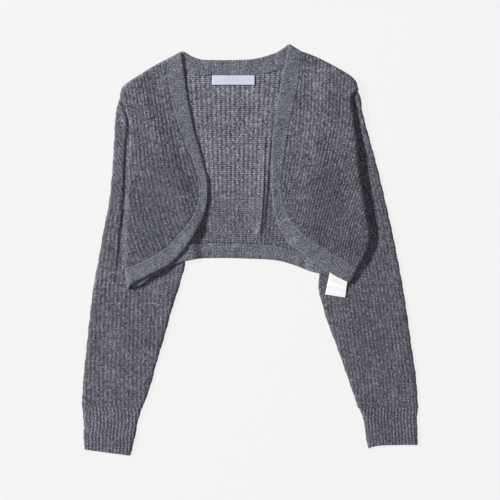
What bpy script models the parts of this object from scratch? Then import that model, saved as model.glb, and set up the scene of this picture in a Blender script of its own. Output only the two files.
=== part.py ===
"""Cropped open cardigan (bolero) in chunky ribbed knit, lying flat on its back.

Its sleeves are turned down and tucked under the body. Left and right are the wearer's, so the
wearer's left is at +X. Metres, +Z up. The origin is on the surface that the garment lies on, under
the middle of its outline. All cloth is a wall with a plain inner or under side, and its ribs are
raised in the outer points. Tables and sizes are in millimetres, and MM turns them into metres.
"""

import math
from collections import namedtuple

import bmesh
import bpy
import numpy as np

NAME = "ribbed_bolero_cardigan"
MM = 0.001

# Cloth
WALL = 2.2  # ribbed cloth between its under side and its rib valleys
RIB_HEIGHT = 0.9  # a rib's crest over its valley
BAND_WALL = 2.6  # plain double-knit band
LABEL_WALL = 0.6
SEAM_GAP = 0.3  # between sewn pieces
SLEEVE_SLIT = 0.6  # between a flat sleeve's two walls

# Heights of the layers
SLEEVE_HEIGHT = 2 * WALL + SLEEVE_SLIT
OVER_SLEEVE = SLEEVE_HEIGHT + RIB_HEIGHT + 0.5  # what lies on a sleeve starts here
OVER_BACK = WALL + RIB_HEIGHT + 1.2  # under side of a front above the under side of the back
LABEL_CLEARANCE = 0.3

# Reach of a layer's slope beside a sleeve: level up to the first figure, down at the second
BACK_SLOPE = (10.0, 28.0)
FRONT_SLOPE = (30.0, 75.0)

# Folded rim of the fronts, at the shoulder and side seams
RIM = 5.5
RIM_STEPS = (0.0, 0.22, 0.55, 1.0)
RIM_PART = 0.85  # of a short row, at most
BACK_INSET = 3.5  # the back's shoulder and side edges inside the folded rim

# Rib profile within one pitch: place and height
RIB_PROFILE = ((0.0, 0.0), (0.25, 1.0), (0.75, 1.0))
RIB_MARGIN = 0.12  # of a pitch, between a rib corner and the end of its row
FRONT_PITCH = 6.0
SLEEVE_PITCH = {"right": 6.7, "left": 5.9}
CUFF_PITCH = {"right": 5.6, "left": 5.2}
BACK_RIB_CENTRE = -23.0
BACK_PITCH = 5.9  # at y = 0
BACK_PITCH_GROWTH = 0.0074  # more pitch for each millimetre up

# How far the ribs of a front have drifted across at a height
Drift = namedtuple("Drift", "y shift")
RIB_DRIFT = {
    "right": [Drift(*row) for row in ((320, 0), (191, 19), (135, 29), (-35, 69))],
    "left": [
        Drift(*row)
        for row in ((327, 0), (207, -7), (159, -14), (111, -26), (63, -41), (15, -60), (-33, -85))
    ],
}

# Rows of a front from the shoulder to the hem: side edge, seam with the band, and the band's free edge
FrontRow = namedtuple("FrontRow", "side_x side_y seam_x seam_y edge_x edge_y")
FRONT = {
    "right": [
        FrontRow(*row)
        for row in (
            (-205, 258, -134, 305, -110, 318),
            (-209, 243, -131, 273, -104, 276),
            (-210, 229, -128, 256, -101, 256),
            (-206, 215, -125, 238, -98, 236),
            (-199, 203, -120, 219, -94, 218),
            (-194, 191, -115, 201, -91, 201),
            (-193, 162, -101, 164, -81, 164),
            (-194, 134, -89, 134, -73, 134),
            (-195, 108, -83, 108, -67, 108),
            (-196, 86, -82, 86, -67, 85),
            (-197, 65, -87, 64, -71, 61),
            (-198, 46, -97, 45, -80, 40),
            (-199, 28, -111, 28, -93, 20),
            (-200, 12, -127, 12, -110, -3),
            (-200, -2, -144, -3, -130, -20),
            (-200, -14, -163, -14, -152, -34),
            (-200, -22, -180, -22, -170, -45),
            (-200, -31, -193, -28, -185, -53),
            (-200, -31, -200, -31, -196, -62),
        )
    ],
    "left": [
        FrontRow(*row)
        for row in (
            (171, 262, 82, 318, 63, 330),
            (164, 246, 79, 279, 54, 289),
            (165, 223, 73, 244, 45, 247),
            (167, 202, 66, 214, 40, 209),
            (170, 180, 60, 182, 36, 178),
            (173, 154, 56, 154, 34, 153),
            (176, 129, 52, 129, 34, 127),
            (180, 103, 51, 103, 34, 102),
            (184, 81, 53, 81, 36, 76),
            (187, 58, 59, 62, 40, 53),
            (192, 33, 70, 42, 49, 31),
            (192, 17, 86, 26, 62, 10),
            (189, 3, 104, 13, 80, -3),
            (184, -9, 123, 0, 100, -17),
            (179, -18, 142, -11, 121, -32),
            (173.5, -29.5, 157, -20, 139, -43),
            (173, -30, 173, -30, 160, -53),
        )
    ],
}
SHOULDER_BULGE = {"right": 3.0, "left": 9.5}  # the shoulder line's rise over a straight line
BULGE_REACH = 0.2  # part of the line in which it rises at the shoulder tip
BULGE_FADES_OVER = 70.0  # down the front
SHOULDER_POINTS = 13

# Rows of a flat sleeve from its mouth to its cuff: outer fold and inner fold
TubeRow = namedtuple("TubeRow", "outer_x outer_y inner_x inner_y")
SLEEVE = {
    "right": [
        TubeRow(*row)
        for row in (
            (-200, 264, -104, 17),
            (-208, 248, -104, 5),
            (-214, 220, -103, -7),
            (-217, 178, -104, -25),
            (-220, 130, -109, -44),
            (-225, 79, -115, -65),
            (-234, 31, -122, -86),
            (-242, -14, -128, -106),
            (-250, -57, -134, -129),
            (-256, -105, -142, -156),
            (-261, -153, -150, -183),
            (-266, -201, -159, -217),
            (-269, -252, -172, -253),
        )
    ],
    "left": [
        TubeRow(*row)
        for row in (
            (165, 267, 112, 8),
            (174, 250, 115, -4),
            (180, 220, 113, -22),
            (191, 178, 111, -41),
            (204, 130, 109, -58),
            (216, 79, 112, -74),
            (227, 31, 117, -92),
            (236, -14, 123, -113),
            (244, -57, 131, -134),
            (251, -102, 140, -158),
            (258, -153, 150, -186),
            (265, -201, 161, -218),
            (269, -252, 173, -253),
        )
    ],
}
# Rows of a cuff below its first one, which follows the sleeve's last
CUFF = {
    "right": [
        TubeRow(*row)
        for row in (
            (-266, -273, -179, -274),
            (-266, -295, -184, -300),
            (-265, -319, -191, -330),
        )
    ],
    "left": [
        TubeRow(*row)
        for row in (
            (267, -273, 182, -274),
            (268, -294, 185, -297),
            (268, -312, 189, -317),
        )
    ],
}
CUFF_STEP_IN = 1.0  # the cuff is this much narrower than the sleeve on each side, where they meet

# Rows of a band round an edge of the back, from the wearer's right to left: seam and free edge
BandRow = namedtuple("BandRow", "seam_x seam_y edge_x edge_y")
NECK_BAND = [
    BandRow(*row)
    for row in (
        (-127, 294, -113, 307),
        (-118, 288, -104, 312),
        (-105, 284, -91, 308),
        (-86, 280, -79, 305),
        (-60, 279, -60, 304),
        (-28, 279, -28, 304),
        (1, 279, 1, 305),
        (20, 281, 17, 308),
        (38, 285, 31, 312),
        (54, 291, 42, 317),
        (68, 301, 54, 321),
        (74, 307, 64, 317),
    )
]
HEM_BAND = [
    BandRow(*row)
    for row in (
        (-195, -34, -190, -63),
        (-186, -30, -178, -63),
        (-172, -20, -159, -45),
        (-153, -10, -141, -33),
        (-132, -2, -122, -24),
        (-111, 5, -103, -18),
        (-99, 7, -93, -16),
        (-87, 9, -82, -14),
        (-60, 11, -58, -13),
        (-28, 11, -28, -13),
        (1, 10, -1, -14),
        (30, 8, 26, -15),
        (57, 3, 50, -18),
        (81, -4, 73, -25),
        (105, -13, 96, -34),
        (117, -18, 108, -37),
        (129, -22, 121, -40),
        (148, -28, 141, -46),
        (166, -34, 156, -51),
    )
]
BACK_DOWN = (0.0, 0.025, 0.06, *np.linspace(0.1, 1.0, 10))  # of the back's rows, from the top down
BACK_TIP = 10.0  # between the tip of the back's shoulder and the tip of the front's
BACK_SIDE_REACH = 15.0  # above and below, for the innermost place of the front's side
BACK_SIDE_STEP = 0.2  # of the search for the back's side edge
BACK_PLAIN_EDGE = 0.012  # part of a row's width at each side with no ribs

# A band's section: place from seam to free edge, and height as a part of its wall
BAND_SECTION = ((0.0, 0.8), (0.1, 1.0), (0.5, 1.08), (0.9, 1.0), (1.0, 0.55))
BAND_UNDER_PLACES = (0.0, 0.5, 1.0)

# Labels: the neck label as a rectangle, and the care label as rows across it with their heights
NECK_LABEL_CENTRE = (-27.0, 270.6)
NECK_LABEL_SIZE = (69.0, 15.2)
LabelRow = namedtuple("LabelRow", "left_x left_y right_x right_y z")
CARE_LABEL_HIGH = OVER_SLEEVE + BAND_WALL + LABEL_CLEARANCE
CARE_LABEL_LOW = SLEEVE_HEIGHT + RIB_HEIGHT + LABEL_CLEARANCE
CARE_LABEL = [
    LabelRow(*row)
    for row in (
        (128, -26, 156, -43, CARE_LABEL_HIGH),
        (125.5, -42.5, 155, -52.5, CARE_LABEL_HIGH),
        (124, -50, 154.5, -59, CARE_LABEL_LOW),
        (120, -71, 152, -76, CARE_LABEL_LOW),
    )
]

# Colours: linear red, green, blue, with roughness
KNIT_COLOUR = (0.13, 0.13, 0.16)
BAND_COLOUR = (0.15, 0.15, 0.18)
LABEL_COLOUR = (0.75, 0.75, 0.86)
KNIT_ROUGHNESS = 0.95
LABEL_ROUGHNESS = 0.6

DENSE = 200  # samples along a row, when points are picked from it
BACK_PLACES = np.linspace(0.0, 1.0, 2 * DENSE)  # of the samples along the back's wider rows
UNDER_PLACES = np.linspace(0.0, 1.0, 13)[1:-1]  # of a front row's plain lower points
UNDER_APART = 0.02  # part of a row between the rim's last lower point and the first plain one
BACK_UNDER_STEP = 9.0  # between the back's plain lower points
BACK_UNDER_APART = 0.006  # part of a row between such a point and a corner of the seam
TUBE_POINTS = 5  # of a tube's level plain chains
TUBE_FOLD = 0.3  # place of the point between a tube's fold and the level part of its lower wall
START, END = -1000.0, 1000.0  # stitching keys of a row's two ends

Node = namedtuple("Node", "key t vert")


def smoothstep(value):
    value = min(max(value, 0.0), 1.0)
    return value * value * (3 - 2 * value)


def bulge(value):
    """Quarter of an ellipse, from 0 at its foot to 1 at its crown."""
    value = min(max(value, 0.0), 1.0)
    return math.sqrt(1 - (1 - value) ** 2)


def unit(x, y):
    """(x, y) at a length of one."""
    length = math.hypot(x, y)
    return x / length, y / length


def nearest(line, x, y):
    """Distance from (x, y) to a line of points, the foot on it, and the line's direction there."""
    best = None
    for (ax, ay), (bx, by) in zip(line, line[1:]):
        dx, dy = bx - ax, by - ay
        t = ((x - ax) * dx + (y - ay) * dy) / (dx * dx + dy * dy)
        t = min(max(t, 0.0), 1.0)
        foot = (ax + t * dx, ay + t * dy)
        distance = math.hypot(x - foot[0], y - foot[1])
        if best is None or distance < best[0]:
            best = (distance, foot, unit(dx, dy))
    return best


def inside(outline, x, y):
    """Whether (x, y) is inside a closed outline."""
    crossings = 0
    for (ax, ay), (bx, by) in zip(outline, outline[1:] + outline[:1]):
        if (ay > y) != (by > y) and x < ax + (y - ay) * (bx - ax) / (by - ay):
            crossings += 1
    return crossings % 2 == 1


def sleeve_outline(side):
    outer = [(row.outer_x, row.outer_y) for row in SLEEVE[side]]
    inner = [(row.inner_x, row.inner_y) for row in SLEEVE[side]]
    return outer + inner[::-1]


SLEEVE_OUTLINES = [sleeve_outline(side) for side in SLEEVE]


def sleeve_cover(x, y, slope):
    """1 over a sleeve and close by, coming down to 0 beside it."""
    cover = 0.0
    for outline in SLEEVE_OUTLINES:
        away = 0.0 if inside(outline, x, y) else nearest(outline + outline[:1], x, y)[0]
        cover = max(cover, 1 - smoothstep((away - slope[0]) / (slope[1] - slope[0])))
    return cover


def back_base(x, y):
    """Height of the back's under side: on the surface, or over a sleeve."""
    return OVER_SLEEVE * sleeve_cover(x, y, BACK_SLOPE)


def front_base(x, y):
    """Height of a front's under side away from its folded rim."""
    return OVER_BACK + OVER_SLEEVE * sleeve_cover(x, y, FRONT_SLOPE)


def dense(line):
    """A line of points sampled evenly, as an array of x and y, and its places from 0 to 1."""
    line = np.array(line, dtype=float)
    steps = np.hypot(*np.diff(line, axis=0).T)
    places = np.concatenate(([0.0], np.cumsum(steps))) / steps.sum()
    t = np.linspace(0.0, 1.0, DENSE)
    return np.column_stack((np.interp(t, places, line[:, 0]), np.interp(t, places, line[:, 1]))), t


def line_length(row):
    """Length of a dense row."""
    return float(np.hypot(*np.diff(row, axis=0).T).sum())


def point_at(row, t, place):
    """A point on a dense row at a place from 0 to 1."""
    return float(np.interp(place, t, row[:, 0])), float(np.interp(place, t, row[:, 1]))


def rib_places(keys, t, first=0.0):
    """(key, place, height) of each rib corner on a row from a first place on. Keys rise along it."""
    low = float(np.interp(first, t, keys)) + RIB_MARGIN
    high = float(keys[-1]) - RIB_MARGIN
    corners = []
    for rib in range(math.floor(low), math.ceil(high) + 1):
        for part, height in RIB_PROFILE:
            key = rib + part
            if low < key < high:
                corners.append((key, float(np.interp(key, keys, t)), height))
    return corners


def stitch(bm, first, second, by="key"):
    """Triangles between two chains of nodes, stepping along the chain whose next key comes first."""
    i = j = 0
    while i < len(first) - 1 or j < len(second) - 1:
        ahead = i < len(first) - 1 and (
            j == len(second) - 1 or getattr(first[i + 1], by) <= getattr(second[j + 1], by)
        )
        if ahead:
            corners = (first[i].vert, first[i + 1].vert, second[j].vert)
            i += 1
        else:
            corners = (first[i].vert, second[j + 1].vert, second[j].vert)
            j += 1
        if len(set(corners)) == 3:
            bm.faces.new(corners)


def add_node(bm, key, t, x, y, z):
    return Node(key, t, bm.verts.new((x * MM, y * MM, z * MM)))


def material(name, colour, roughness):
    made = bpy.data.materials.new(name)
    made.use_nodes = True
    shader = made.node_tree.nodes["Principled BSDF"]
    shader.inputs["Base Color"].default_value = (*colour, 1.0)
    shader.inputs["Roughness"].default_value = roughness
    shader.inputs["Metallic"].default_value = 0.0
    return made


def finish_object(bm, name, collection, colour, roughness):
    bmesh.ops.recalc_face_normals(bm, faces=bm.faces)
    mesh = bpy.data.meshes.new(name)
    bm.to_mesh(mesh)
    bm.free()
    mesh.materials.append(material(name, colour, roughness))
    made = bpy.data.objects.new(name, mesh)
    collection.objects.link(made)
    return made


def loft_sheet(bm, sections):
    """A closed sheet through sections, each an upper and a lower chain of nodes that run the same way."""
    for (upper_a, lower_a), (upper_b, lower_b) in zip(sections, sections[1:]):
        stitch(bm, upper_a, upper_b)
        stitch(bm, lower_a, lower_b)
        for end in (0, -1):
            bm.faces.new((upper_a[end].vert, upper_b[end].vert, lower_b[end].vert, lower_a[end].vert))
    for upper, lower in (sections[0], sections[-1]):
        stitch(bm, upper, lower, by="t")


def loft_tube(bm, sections):
    """A closed tube wall through sections of four chains, as tube_section gives them."""
    for section, following in zip(sections, sections[1:]):
        for chain, next_chain in zip(section, following):
            stitch(bm, chain, next_chain)
    for outer_upper, outer_lower, inner_upper, inner_lower in (sections[0], sections[-1]):
        stitch(bm, outer_upper, inner_upper, by="t")
        stitch(bm, outer_lower, inner_lower, by="t")


def moved_row(start, following, depth, squareness):
    """A front row moved from start towards the following one, by a depth square to start."""
    values = []
    for number in range(0, 6, 2):
        (ax, ay), (bx, by) = start[number : number + 2], following[number : number + 2]
        part = depth * squareness / max(math.hypot(bx - ax, by - ay), RIM)
        values += [ax + (bx - ax) * part, ay + (by - ay) * part]
    return FrontRow(*values)


def rim_depths():
    """Depths inside the folded rim of its upper and its lower points."""
    return [(RIM * step, WALL + (RIM - WALL) * step) for step in RIM_STEPS]


def shoulder_rows(side):
    """(upper row, lower row) pairs where a front folds down at the shoulder."""
    first, second = FRONT[side][:2]
    across, up = first.seam_x - first.side_x, first.seam_y - first.side_y
    squareness = math.hypot(across, up) / abs(across)
    return [
        (moved_row(first, second, upper, squareness), moved_row(first, second, lower, squareness))
        for upper, lower in rim_depths()
    ]


def end_rows(side):
    """(upper row, lower row) pairs where the band folds down at the side seam."""
    last, before = FRONT[side][-1], FRONT[side][-2]
    return [
        (moved_row(last, before, upper, 1.0), moved_row(last, before, lower, 1.0))
        for upper, lower in rim_depths()[::-1]
    ]


def shoulder_line(side, row):
    """A panel row from the side to the seam. The shoulder's bulge fades out down the front."""
    first = FRONT[side][0]
    drop = (first.side_y + first.seam_y - row.side_y - row.seam_y) / 2
    rise = SHOULDER_BULGE[side] * max(0.0, 1 - drop / BULGE_FADES_OVER)
    line = []
    for place in np.linspace(0.0, 1.0, SHOULDER_POINTS):
        lift = rise * bulge(place / BULGE_REACH) * (1 - place**3)
        x = row.side_x + (row.seam_x - row.side_x) * place
        y = row.side_y + (row.seam_y - row.side_y) * place + lift
        line.append((float(x), float(y)))
    return line


def rim_line(side):
    """The folded rim of a front: from the neck along the shoulder, round its tip and down the side."""
    first, last = FRONT[side][0], FRONT[side][-1]
    neck = [(first.edge_x, first.edge_y)]
    shoulder = shoulder_line(side, first)[::-1]
    sides = [(row.side_x, row.side_y) for row in FRONT[side][1:-2] + [last]]
    return neck + shoulder + sides + [(last.edge_x, last.edge_y)]


RIM_LINES = {side: rim_line(side) for side in FRONT}


def hand(side):
    """+1 on the wearer's left, which is at +X."""
    return 1 if side == "left" else -1


def push_in(side, x, y, depth):
    """(x, y) moved square to the rim, if it lies less than depth inside it."""
    distance, foot, (dx, dy) = nearest(RIM_LINES[side], x, y)
    if distance >= depth:
        return x, y
    inward = (dy * hand(side), -dx * hand(side))
    return foot[0] + inward[0] * depth, foot[1] + inward[1] * depth


def front_top(side, x, y, wall):
    """Height of a front's plain upper side, without its ribs, over a wall of cloth."""
    distance = nearest(RIM_LINES[side], x, y)[0]
    low = back_base(x, y)
    return low + (front_base(x, y) + wall - low) * bulge(distance / RIM)


def front_under(side, x, y):
    """Height of a front's under side, which comes down on to the back's edge at the rim."""
    distance = nearest(RIM_LINES[side], x, y)[0]
    low = back_base(x, y)
    return low + (front_base(x, y) - low) * bulge((distance - WALL) / (RIM - WALL))


def front_rib_key(side, row):
    """Rib number along a dense row, rising from the side to the band."""
    table = sorted(RIB_DRIFT[side])
    drift = np.interp(row[:, 1], [item.y for item in table], [item.shift for item in table])
    return hand(side) * (drift - row[:, 0]) / FRONT_PITCH


def front_upper(bm, side, table_row):
    """The ribbed upper chain of a front row: the folded rim, the rib corners and the seam."""
    row, t = dense(shoulder_line(side, table_row))
    length = line_length(row)
    keys = front_rib_key(side, row)
    rim_places = [depth / length for depth, _ in rim_depths() if depth < RIM_PART * length]
    marks = [(START + number, place, 0.0) for number, place in enumerate(rim_places)]
    marks += rib_places(keys, t, rim_places[-1]) + [(END, 1.0, 0.0)]
    chain = []
    for key, place, height in marks:
        x, y = point_at(row, t, place)
        fade = smoothstep(nearest(RIM_LINES[side], x, y)[0] / RIM)
        z = front_top(side, x, y, WALL) + RIB_HEIGHT * height * fade
        chain.append(add_node(bm, key, place, x, y, z))
    return chain


def front_lower(bm, side, table_row):
    """The plain lower chain of a front row."""
    row, t = dense(shoulder_line(side, table_row))
    length = line_length(row)
    rim_places = [depth / length for _, depth in rim_depths() if depth < RIM_PART * length]
    level = [place for place in UNDER_PLACES if place > rim_places[-1] + UNDER_APART]
    marks = [(START + number, place) for number, place in enumerate(rim_places)]
    marks += [(place, place) for place in level] + [(END, 1.0)]
    chain = []
    for key, place in marks:
        x, y = push_in(side, *point_at(row, t, place), WALL)
        chain.append(add_node(bm, key, place, x, y, front_under(side, x, y)))
    return chain


def make_front(side, collection):
    """A front panel: ribbed above, plain below, its outer rims folded down round the back's edge."""
    bm = bmesh.new()
    rows = shoulder_rows(side) + [(row, row) for row in FRONT[side][1:-1]]
    sections = [(front_upper(bm, side, upper), front_lower(bm, side, lower)) for upper, lower in rows]
    loft_sheet(bm, sections)
    return finish_object(bm, f"front_{side}", collection, KNIT_COLOUR, KNIT_ROUGHNESS)


def band_point(row, place):
    """A point across a band row, whose seam side starts a seam's gap away from the panel."""
    toward = unit(row.edge_x - row.seam_x, row.edge_y - row.seam_y)
    start_x, start_y = row.seam_x + toward[0] * SEAM_GAP, row.seam_y + toward[1] * SEAM_GAP
    return start_x + (row.edge_x - start_x) * place, start_y + (row.edge_y - start_y) * place


def make_band(name, rows, top_of, under_of, collection):
    """A plain band through (upper row, lower row) pairs, from its seam to its free edge."""
    bm = bmesh.new()
    sections = []
    for upper_row, lower_row in rows:
        upper = []
        lower = []
        for place, part in BAND_SECTION:
            x, y = band_point(upper_row, place)
            upper.append(add_node(bm, place, place, x, y, top_of(x, y, part)))
            if place in BAND_UNDER_PLACES:
                x, y, z = under_of(*band_point(lower_row, place))
                lower.append(add_node(bm, place, place, x, y, z))
        sections.append((upper, lower))
    loft_sheet(bm, sections)
    return finish_object(bm, name, collection, BAND_COLOUR, KNIT_ROUGHNESS)


def make_front_band(side, collection):
    """The band of a front, from the neck peak round the curved corner to the side seam."""

    def top_of(x, y, part):
        whole = front_top(side, x, y, BAND_WALL)
        return whole - (1 - part) * min(BAND_WALL, whole - front_under(side, x, y))

    def under_of(x, y):
        x, y = push_in(side, x, y, WALL)
        return x, y, front_under(side, x, y)

    rows = shoulder_rows(side) + [(row, row) for row in FRONT[side][1:-1]] + end_rows(side)
    rows = [(BandRow(*upper[2:]), BandRow(*lower[2:])) for upper, lower in rows]
    return make_band(f"front_band_{side}", rows, top_of, under_of, collection)


def make_back_band(name, rows, collection):
    """A band along an edge of the back."""

    def top_of(x, y, part):
        return back_base(x, y) + BAND_WALL * part

    def under_of(x, y):
        return x, y, back_base(x, y)

    return make_band(name, [(row, row) for row in rows], top_of, under_of, collection)


def seam_line(rows):
    """The edge of the back along a band, a seam's gap away from it."""
    line = []
    for row in rows:
        away = unit(row.seam_x - row.edge_x, row.seam_y - row.edge_y)
        line.append((row.seam_x + away[0] * SEAM_GAP, row.seam_y + away[1] * SEAM_GAP))
    return line


def back_side_x(side, y):
    """Where the back's side edge is at a height: straight inside the front's folded, curved rim."""
    line = [(row.side_x, row.side_y) for row in FRONT[side][1:-2]]
    line.append((FRONT[side][-1].edge_x, FRONT[side][-1].edge_y))
    line.sort(key=lambda point: point[1])
    near = (y - BACK_SIDE_REACH, y, y + BACK_SIDE_REACH)
    places = np.interp(near, [point[1] for point in line], [point[0] for point in line])
    x = hand(side) * (float((hand(side) * places).min()) - BACK_INSET)
    while nearest(RIM_LINES[side], x, y)[0] < BACK_INSET:
        x -= hand(side) * BACK_SIDE_STEP
    return x


def back_shoulder(side):
    """The back's edge inside the folded shoulder rim of a front, from the neck to the shoulder tip."""
    line = [push_in(side, *point, BACK_INSET) for point in shoulder_line(side, FRONT[side][0])[::-1]]
    limit = min(hand(side) * row.side_x for row in FRONT[side][:2]) - BACK_TIP
    return [point for point in line[1:] if hand(side) * point[0] < limit]


def height_across(line):
    """A line's y at even places from its first x to its last."""
    line = np.array(line)
    reach = line[0, 0] + (line[-1, 0] - line[0, 0]) * BACK_PLACES
    return np.interp(reach, line[:, 0], line[:, 1])


def back_rows():
    """Rows of the back from the shoulders to the hem, each with the places of its plain lower points."""
    top = back_shoulder("right")[::-1] + seam_line(NECK_BAND) + back_shoulder("left")
    hem = seam_line(HEM_BAND)
    top_y, hem_y = height_across(top), height_across(hem)
    rows = []
    for down in BACK_DOWN:
        y = top_y * (1 - down) + hem_y * down
        x_right, x_left = back_side_x("right", y[0]), back_side_x("left", y[-1])
        under = list(np.linspace(0.0, 1.0, round((x_left - x_right) / BACK_UNDER_STEP)))
        if down in (0.0, 1.0):
            seam = top if down == 0.0 else hem
            x_right, x_left = seam[0][0], seam[-1][0]
            corners = [(x - x_right) / (x_left - x_right) for x, _ in seam]
            apart = [min(abs(place - corner) for corner in corners) for place in under]
            under = [place for place, away in zip(under, apart) if away > BACK_UNDER_APART]
            under = sorted(under + corners)
        rows.append((np.column_stack((x_right + (x_left - x_right) * BACK_PLACES, y)), under))
    return rows


def make_back(collection):
    """The back panel, whose inside shows in the opening: ribbed above, plain and flat below."""
    bm = bmesh.new()
    sections = []
    for row, under in back_rows():
        keys = (row[:, 0] - BACK_RIB_CENTRE) / (BACK_PITCH + BACK_PITCH_GROWTH * row[:, 1])
        upper = []
        for key, place, height in [(START, 0.0, 0.0)] + rib_places(keys, BACK_PLACES) + [(END, 1.0, 0.0)]:
            x, y = point_at(row, BACK_PLACES, place)
            if not BACK_PLAIN_EDGE < place < 1 - BACK_PLAIN_EDGE:
                height = 0.0
            upper.append(add_node(bm, key, place, x, y, back_base(x, y) + WALL + RIB_HEIGHT * height))
        lower = []
        for place in under:
            x, y = point_at(row, BACK_PLACES, place)
            lower.append(add_node(bm, place, place, x, y, back_base(x, y)))
        sections.append((upper, lower))
    loft_sheet(bm, sections)
    return finish_object(bm, "back", collection, KNIT_COLOUR, KNIT_ROUGHNESS)


def numbered(chain):
    """The chain with its nodes numbered as keys, for plain chains that match one to one."""
    return [Node(number, node.t, node.vert) for number, node in enumerate(chain)]


def tube_section(bm, row, keys, t, pitch):
    """A flat tube's four chains: ribbed upper wall, flat lower wall, and the slit's two sides."""
    last = float(keys[-1])
    middle = SLEEVE_HEIGHT / 2
    corner = middle / pitch
    inset = WALL / pitch
    ribs = {key: height for key, _, height in rib_places(keys, t)}

    def swell(key):
        """Height over the middle of the tube's round folds, which are as deep as they are high."""
        return middle * bulge(min(key, last - key) / corner)

    def over(key):
        return middle + swell(key) + RIB_HEIGHT * ribs.get(key, 0.0) * smoothstep(swell(key) / middle)

    def under(key):
        return middle - swell(key)

    def slit(key, way):
        return middle + (way * SLEEVE_SLIT / 2 if inset < key < last - inset else 0.0)

    def chain(places, height_of, ends=None):
        """Nodes at rib keys, between two end nodes of their own or of another chain."""
        nodes = []
        for key in places[1:-1] if ends else places:
            place = float(np.interp(key, keys, t))
            nodes.append(add_node(bm, key, place, *point_at(row, t, place), height_of(key)))
        if ends:
            return [ends[0], *nodes, ends[-1]]
        nodes[0] = nodes[0]._replace(key=START)
        nodes[-1] = nodes[-1]._replace(key=END)
        return nodes

    fold = TUBE_FOLD * corner
    level = np.linspace(corner, last - corner, TUBE_POINTS)
    open_part = np.linspace(inset + 2 * corner, last - inset - 2 * corner, TUBE_POINTS)
    slit_places = [inset, *open_part, last - inset]
    outer_upper = chain([0.0, *ribs, last], over)
    outer_lower = chain([0.0, fold, *level, last - fold, last], under, ends=outer_upper)
    inner_upper = chain(slit_places, lambda key: slit(key, 1))
    inner_lower = chain(slit_places, lambda key: slit(key, -1), ends=inner_upper)
    return outer_upper, numbered(outer_lower), numbered(inner_upper), numbered(inner_lower)


def make_tube(name, rows, side, pitch, collection):
    """A flat ribbed tube, open at both ends, with ribs parallel to its outer fold."""
    bm = bmesh.new()
    fold_line = sorted((row.outer_y, row.outer_x) for row in rows)
    fold_y, fold_x = zip(*fold_line)
    sections = []
    for table_row in rows:
        ends = [(table_row.outer_x, table_row.outer_y), (table_row.inner_x, table_row.inner_y)]
        row, t = dense(ends)
        keys = hand(side) * (np.interp(row[:, 1], fold_y, fold_x) - row[:, 0]) / pitch
        sections.append(tube_section(bm, row, keys, t, pitch))
    loft_tube(bm, sections)
    return finish_object(bm, name, collection, KNIT_COLOUR, KNIT_ROUGHNESS)


def make_cuff(side, collection):
    """A cuff, a little narrower than the sleeve where they meet."""
    sleeve_end = SLEEVE[side][-1]
    step = CUFF_STEP_IN * hand(side)
    first = TubeRow(
        sleeve_end.outer_x - step,
        sleeve_end.outer_y - SEAM_GAP,
        sleeve_end.inner_x + step,
        sleeve_end.inner_y - SEAM_GAP,
    )
    return make_tube(f"cuff_{side}", [first] + CUFF[side], side, CUFF_PITCH[side], collection)


def make_neck_label(collection):
    """A blank woven label lying on the back's ribs, sewn at the neck band's seam."""
    bm = bmesh.new()
    bmesh.ops.create_cube(bm, size=MM)
    height = WALL + RIB_HEIGHT + LABEL_CLEARANCE + LABEL_WALL / 2
    centre = [value * MM for value in (*NECK_LABEL_CENTRE, height)]
    bmesh.ops.scale(bm, vec=(*NECK_LABEL_SIZE, LABEL_WALL), verts=bm.verts)
    bmesh.ops.translate(bm, vec=centre, verts=bm.verts)
    return finish_object(bm, "neck_label", collection, LABEL_COLOUR, LABEL_ROUGHNESS)


def make_care_label(collection):
    """A blank label that comes out between the hem bands and down on to the left sleeve."""
    bm = bmesh.new()
    sections = []
    for row in CARE_LABEL:
        ends = ((0.0, row.left_x, row.left_y), (1.0, row.right_x, row.right_y))
        upper = [add_node(bm, t, t, x, y, row.z + LABEL_WALL) for t, x, y in ends]
        lower = [add_node(bm, t, t, x, y, row.z) for t, x, y in ends]
        sections.append((upper, lower))
    loft_sheet(bm, sections)
    return finish_object(bm, "care_label", collection, LABEL_COLOUR, LABEL_ROUGHNESS)


def clear_scene():
    for item in list(bpy.data.objects):
        bpy.data.objects.remove(item, do_unlink=True)


def main():
    clear_scene()
    collection = bpy.data.collections.new(NAME)
    bpy.context.scene.collection.children.link(collection)
    make_back(collection)
    make_back_band("neck_band", NECK_BAND, collection)
    make_back_band("hem_band_back", HEM_BAND, collection)
    for side in ("right", "left"):
        make_front(side, collection)
        make_front_band(side, collection)
        make_tube(f"sleeve_{side}", SLEEVE[side], side, SLEEVE_PITCH[side], collection)
        make_cuff(side, collection)
    make_neck_label(collection)
    make_care_label(collection)


main()
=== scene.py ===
# %% [markdown]
# # A ribbed bolero cardigan, laid flat
#
# The garment is a cropped, open cardigan in chunky charcoal wool. It lies on its back with the
# sleeves turned down and tucked under the body, and the camera looks straight down on it.
# Lengths in the tables are millimetres, left and right are the wearer's, and +Y points to the neck.

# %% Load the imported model
import math
from collections import namedtuple
from functools import partial

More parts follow.
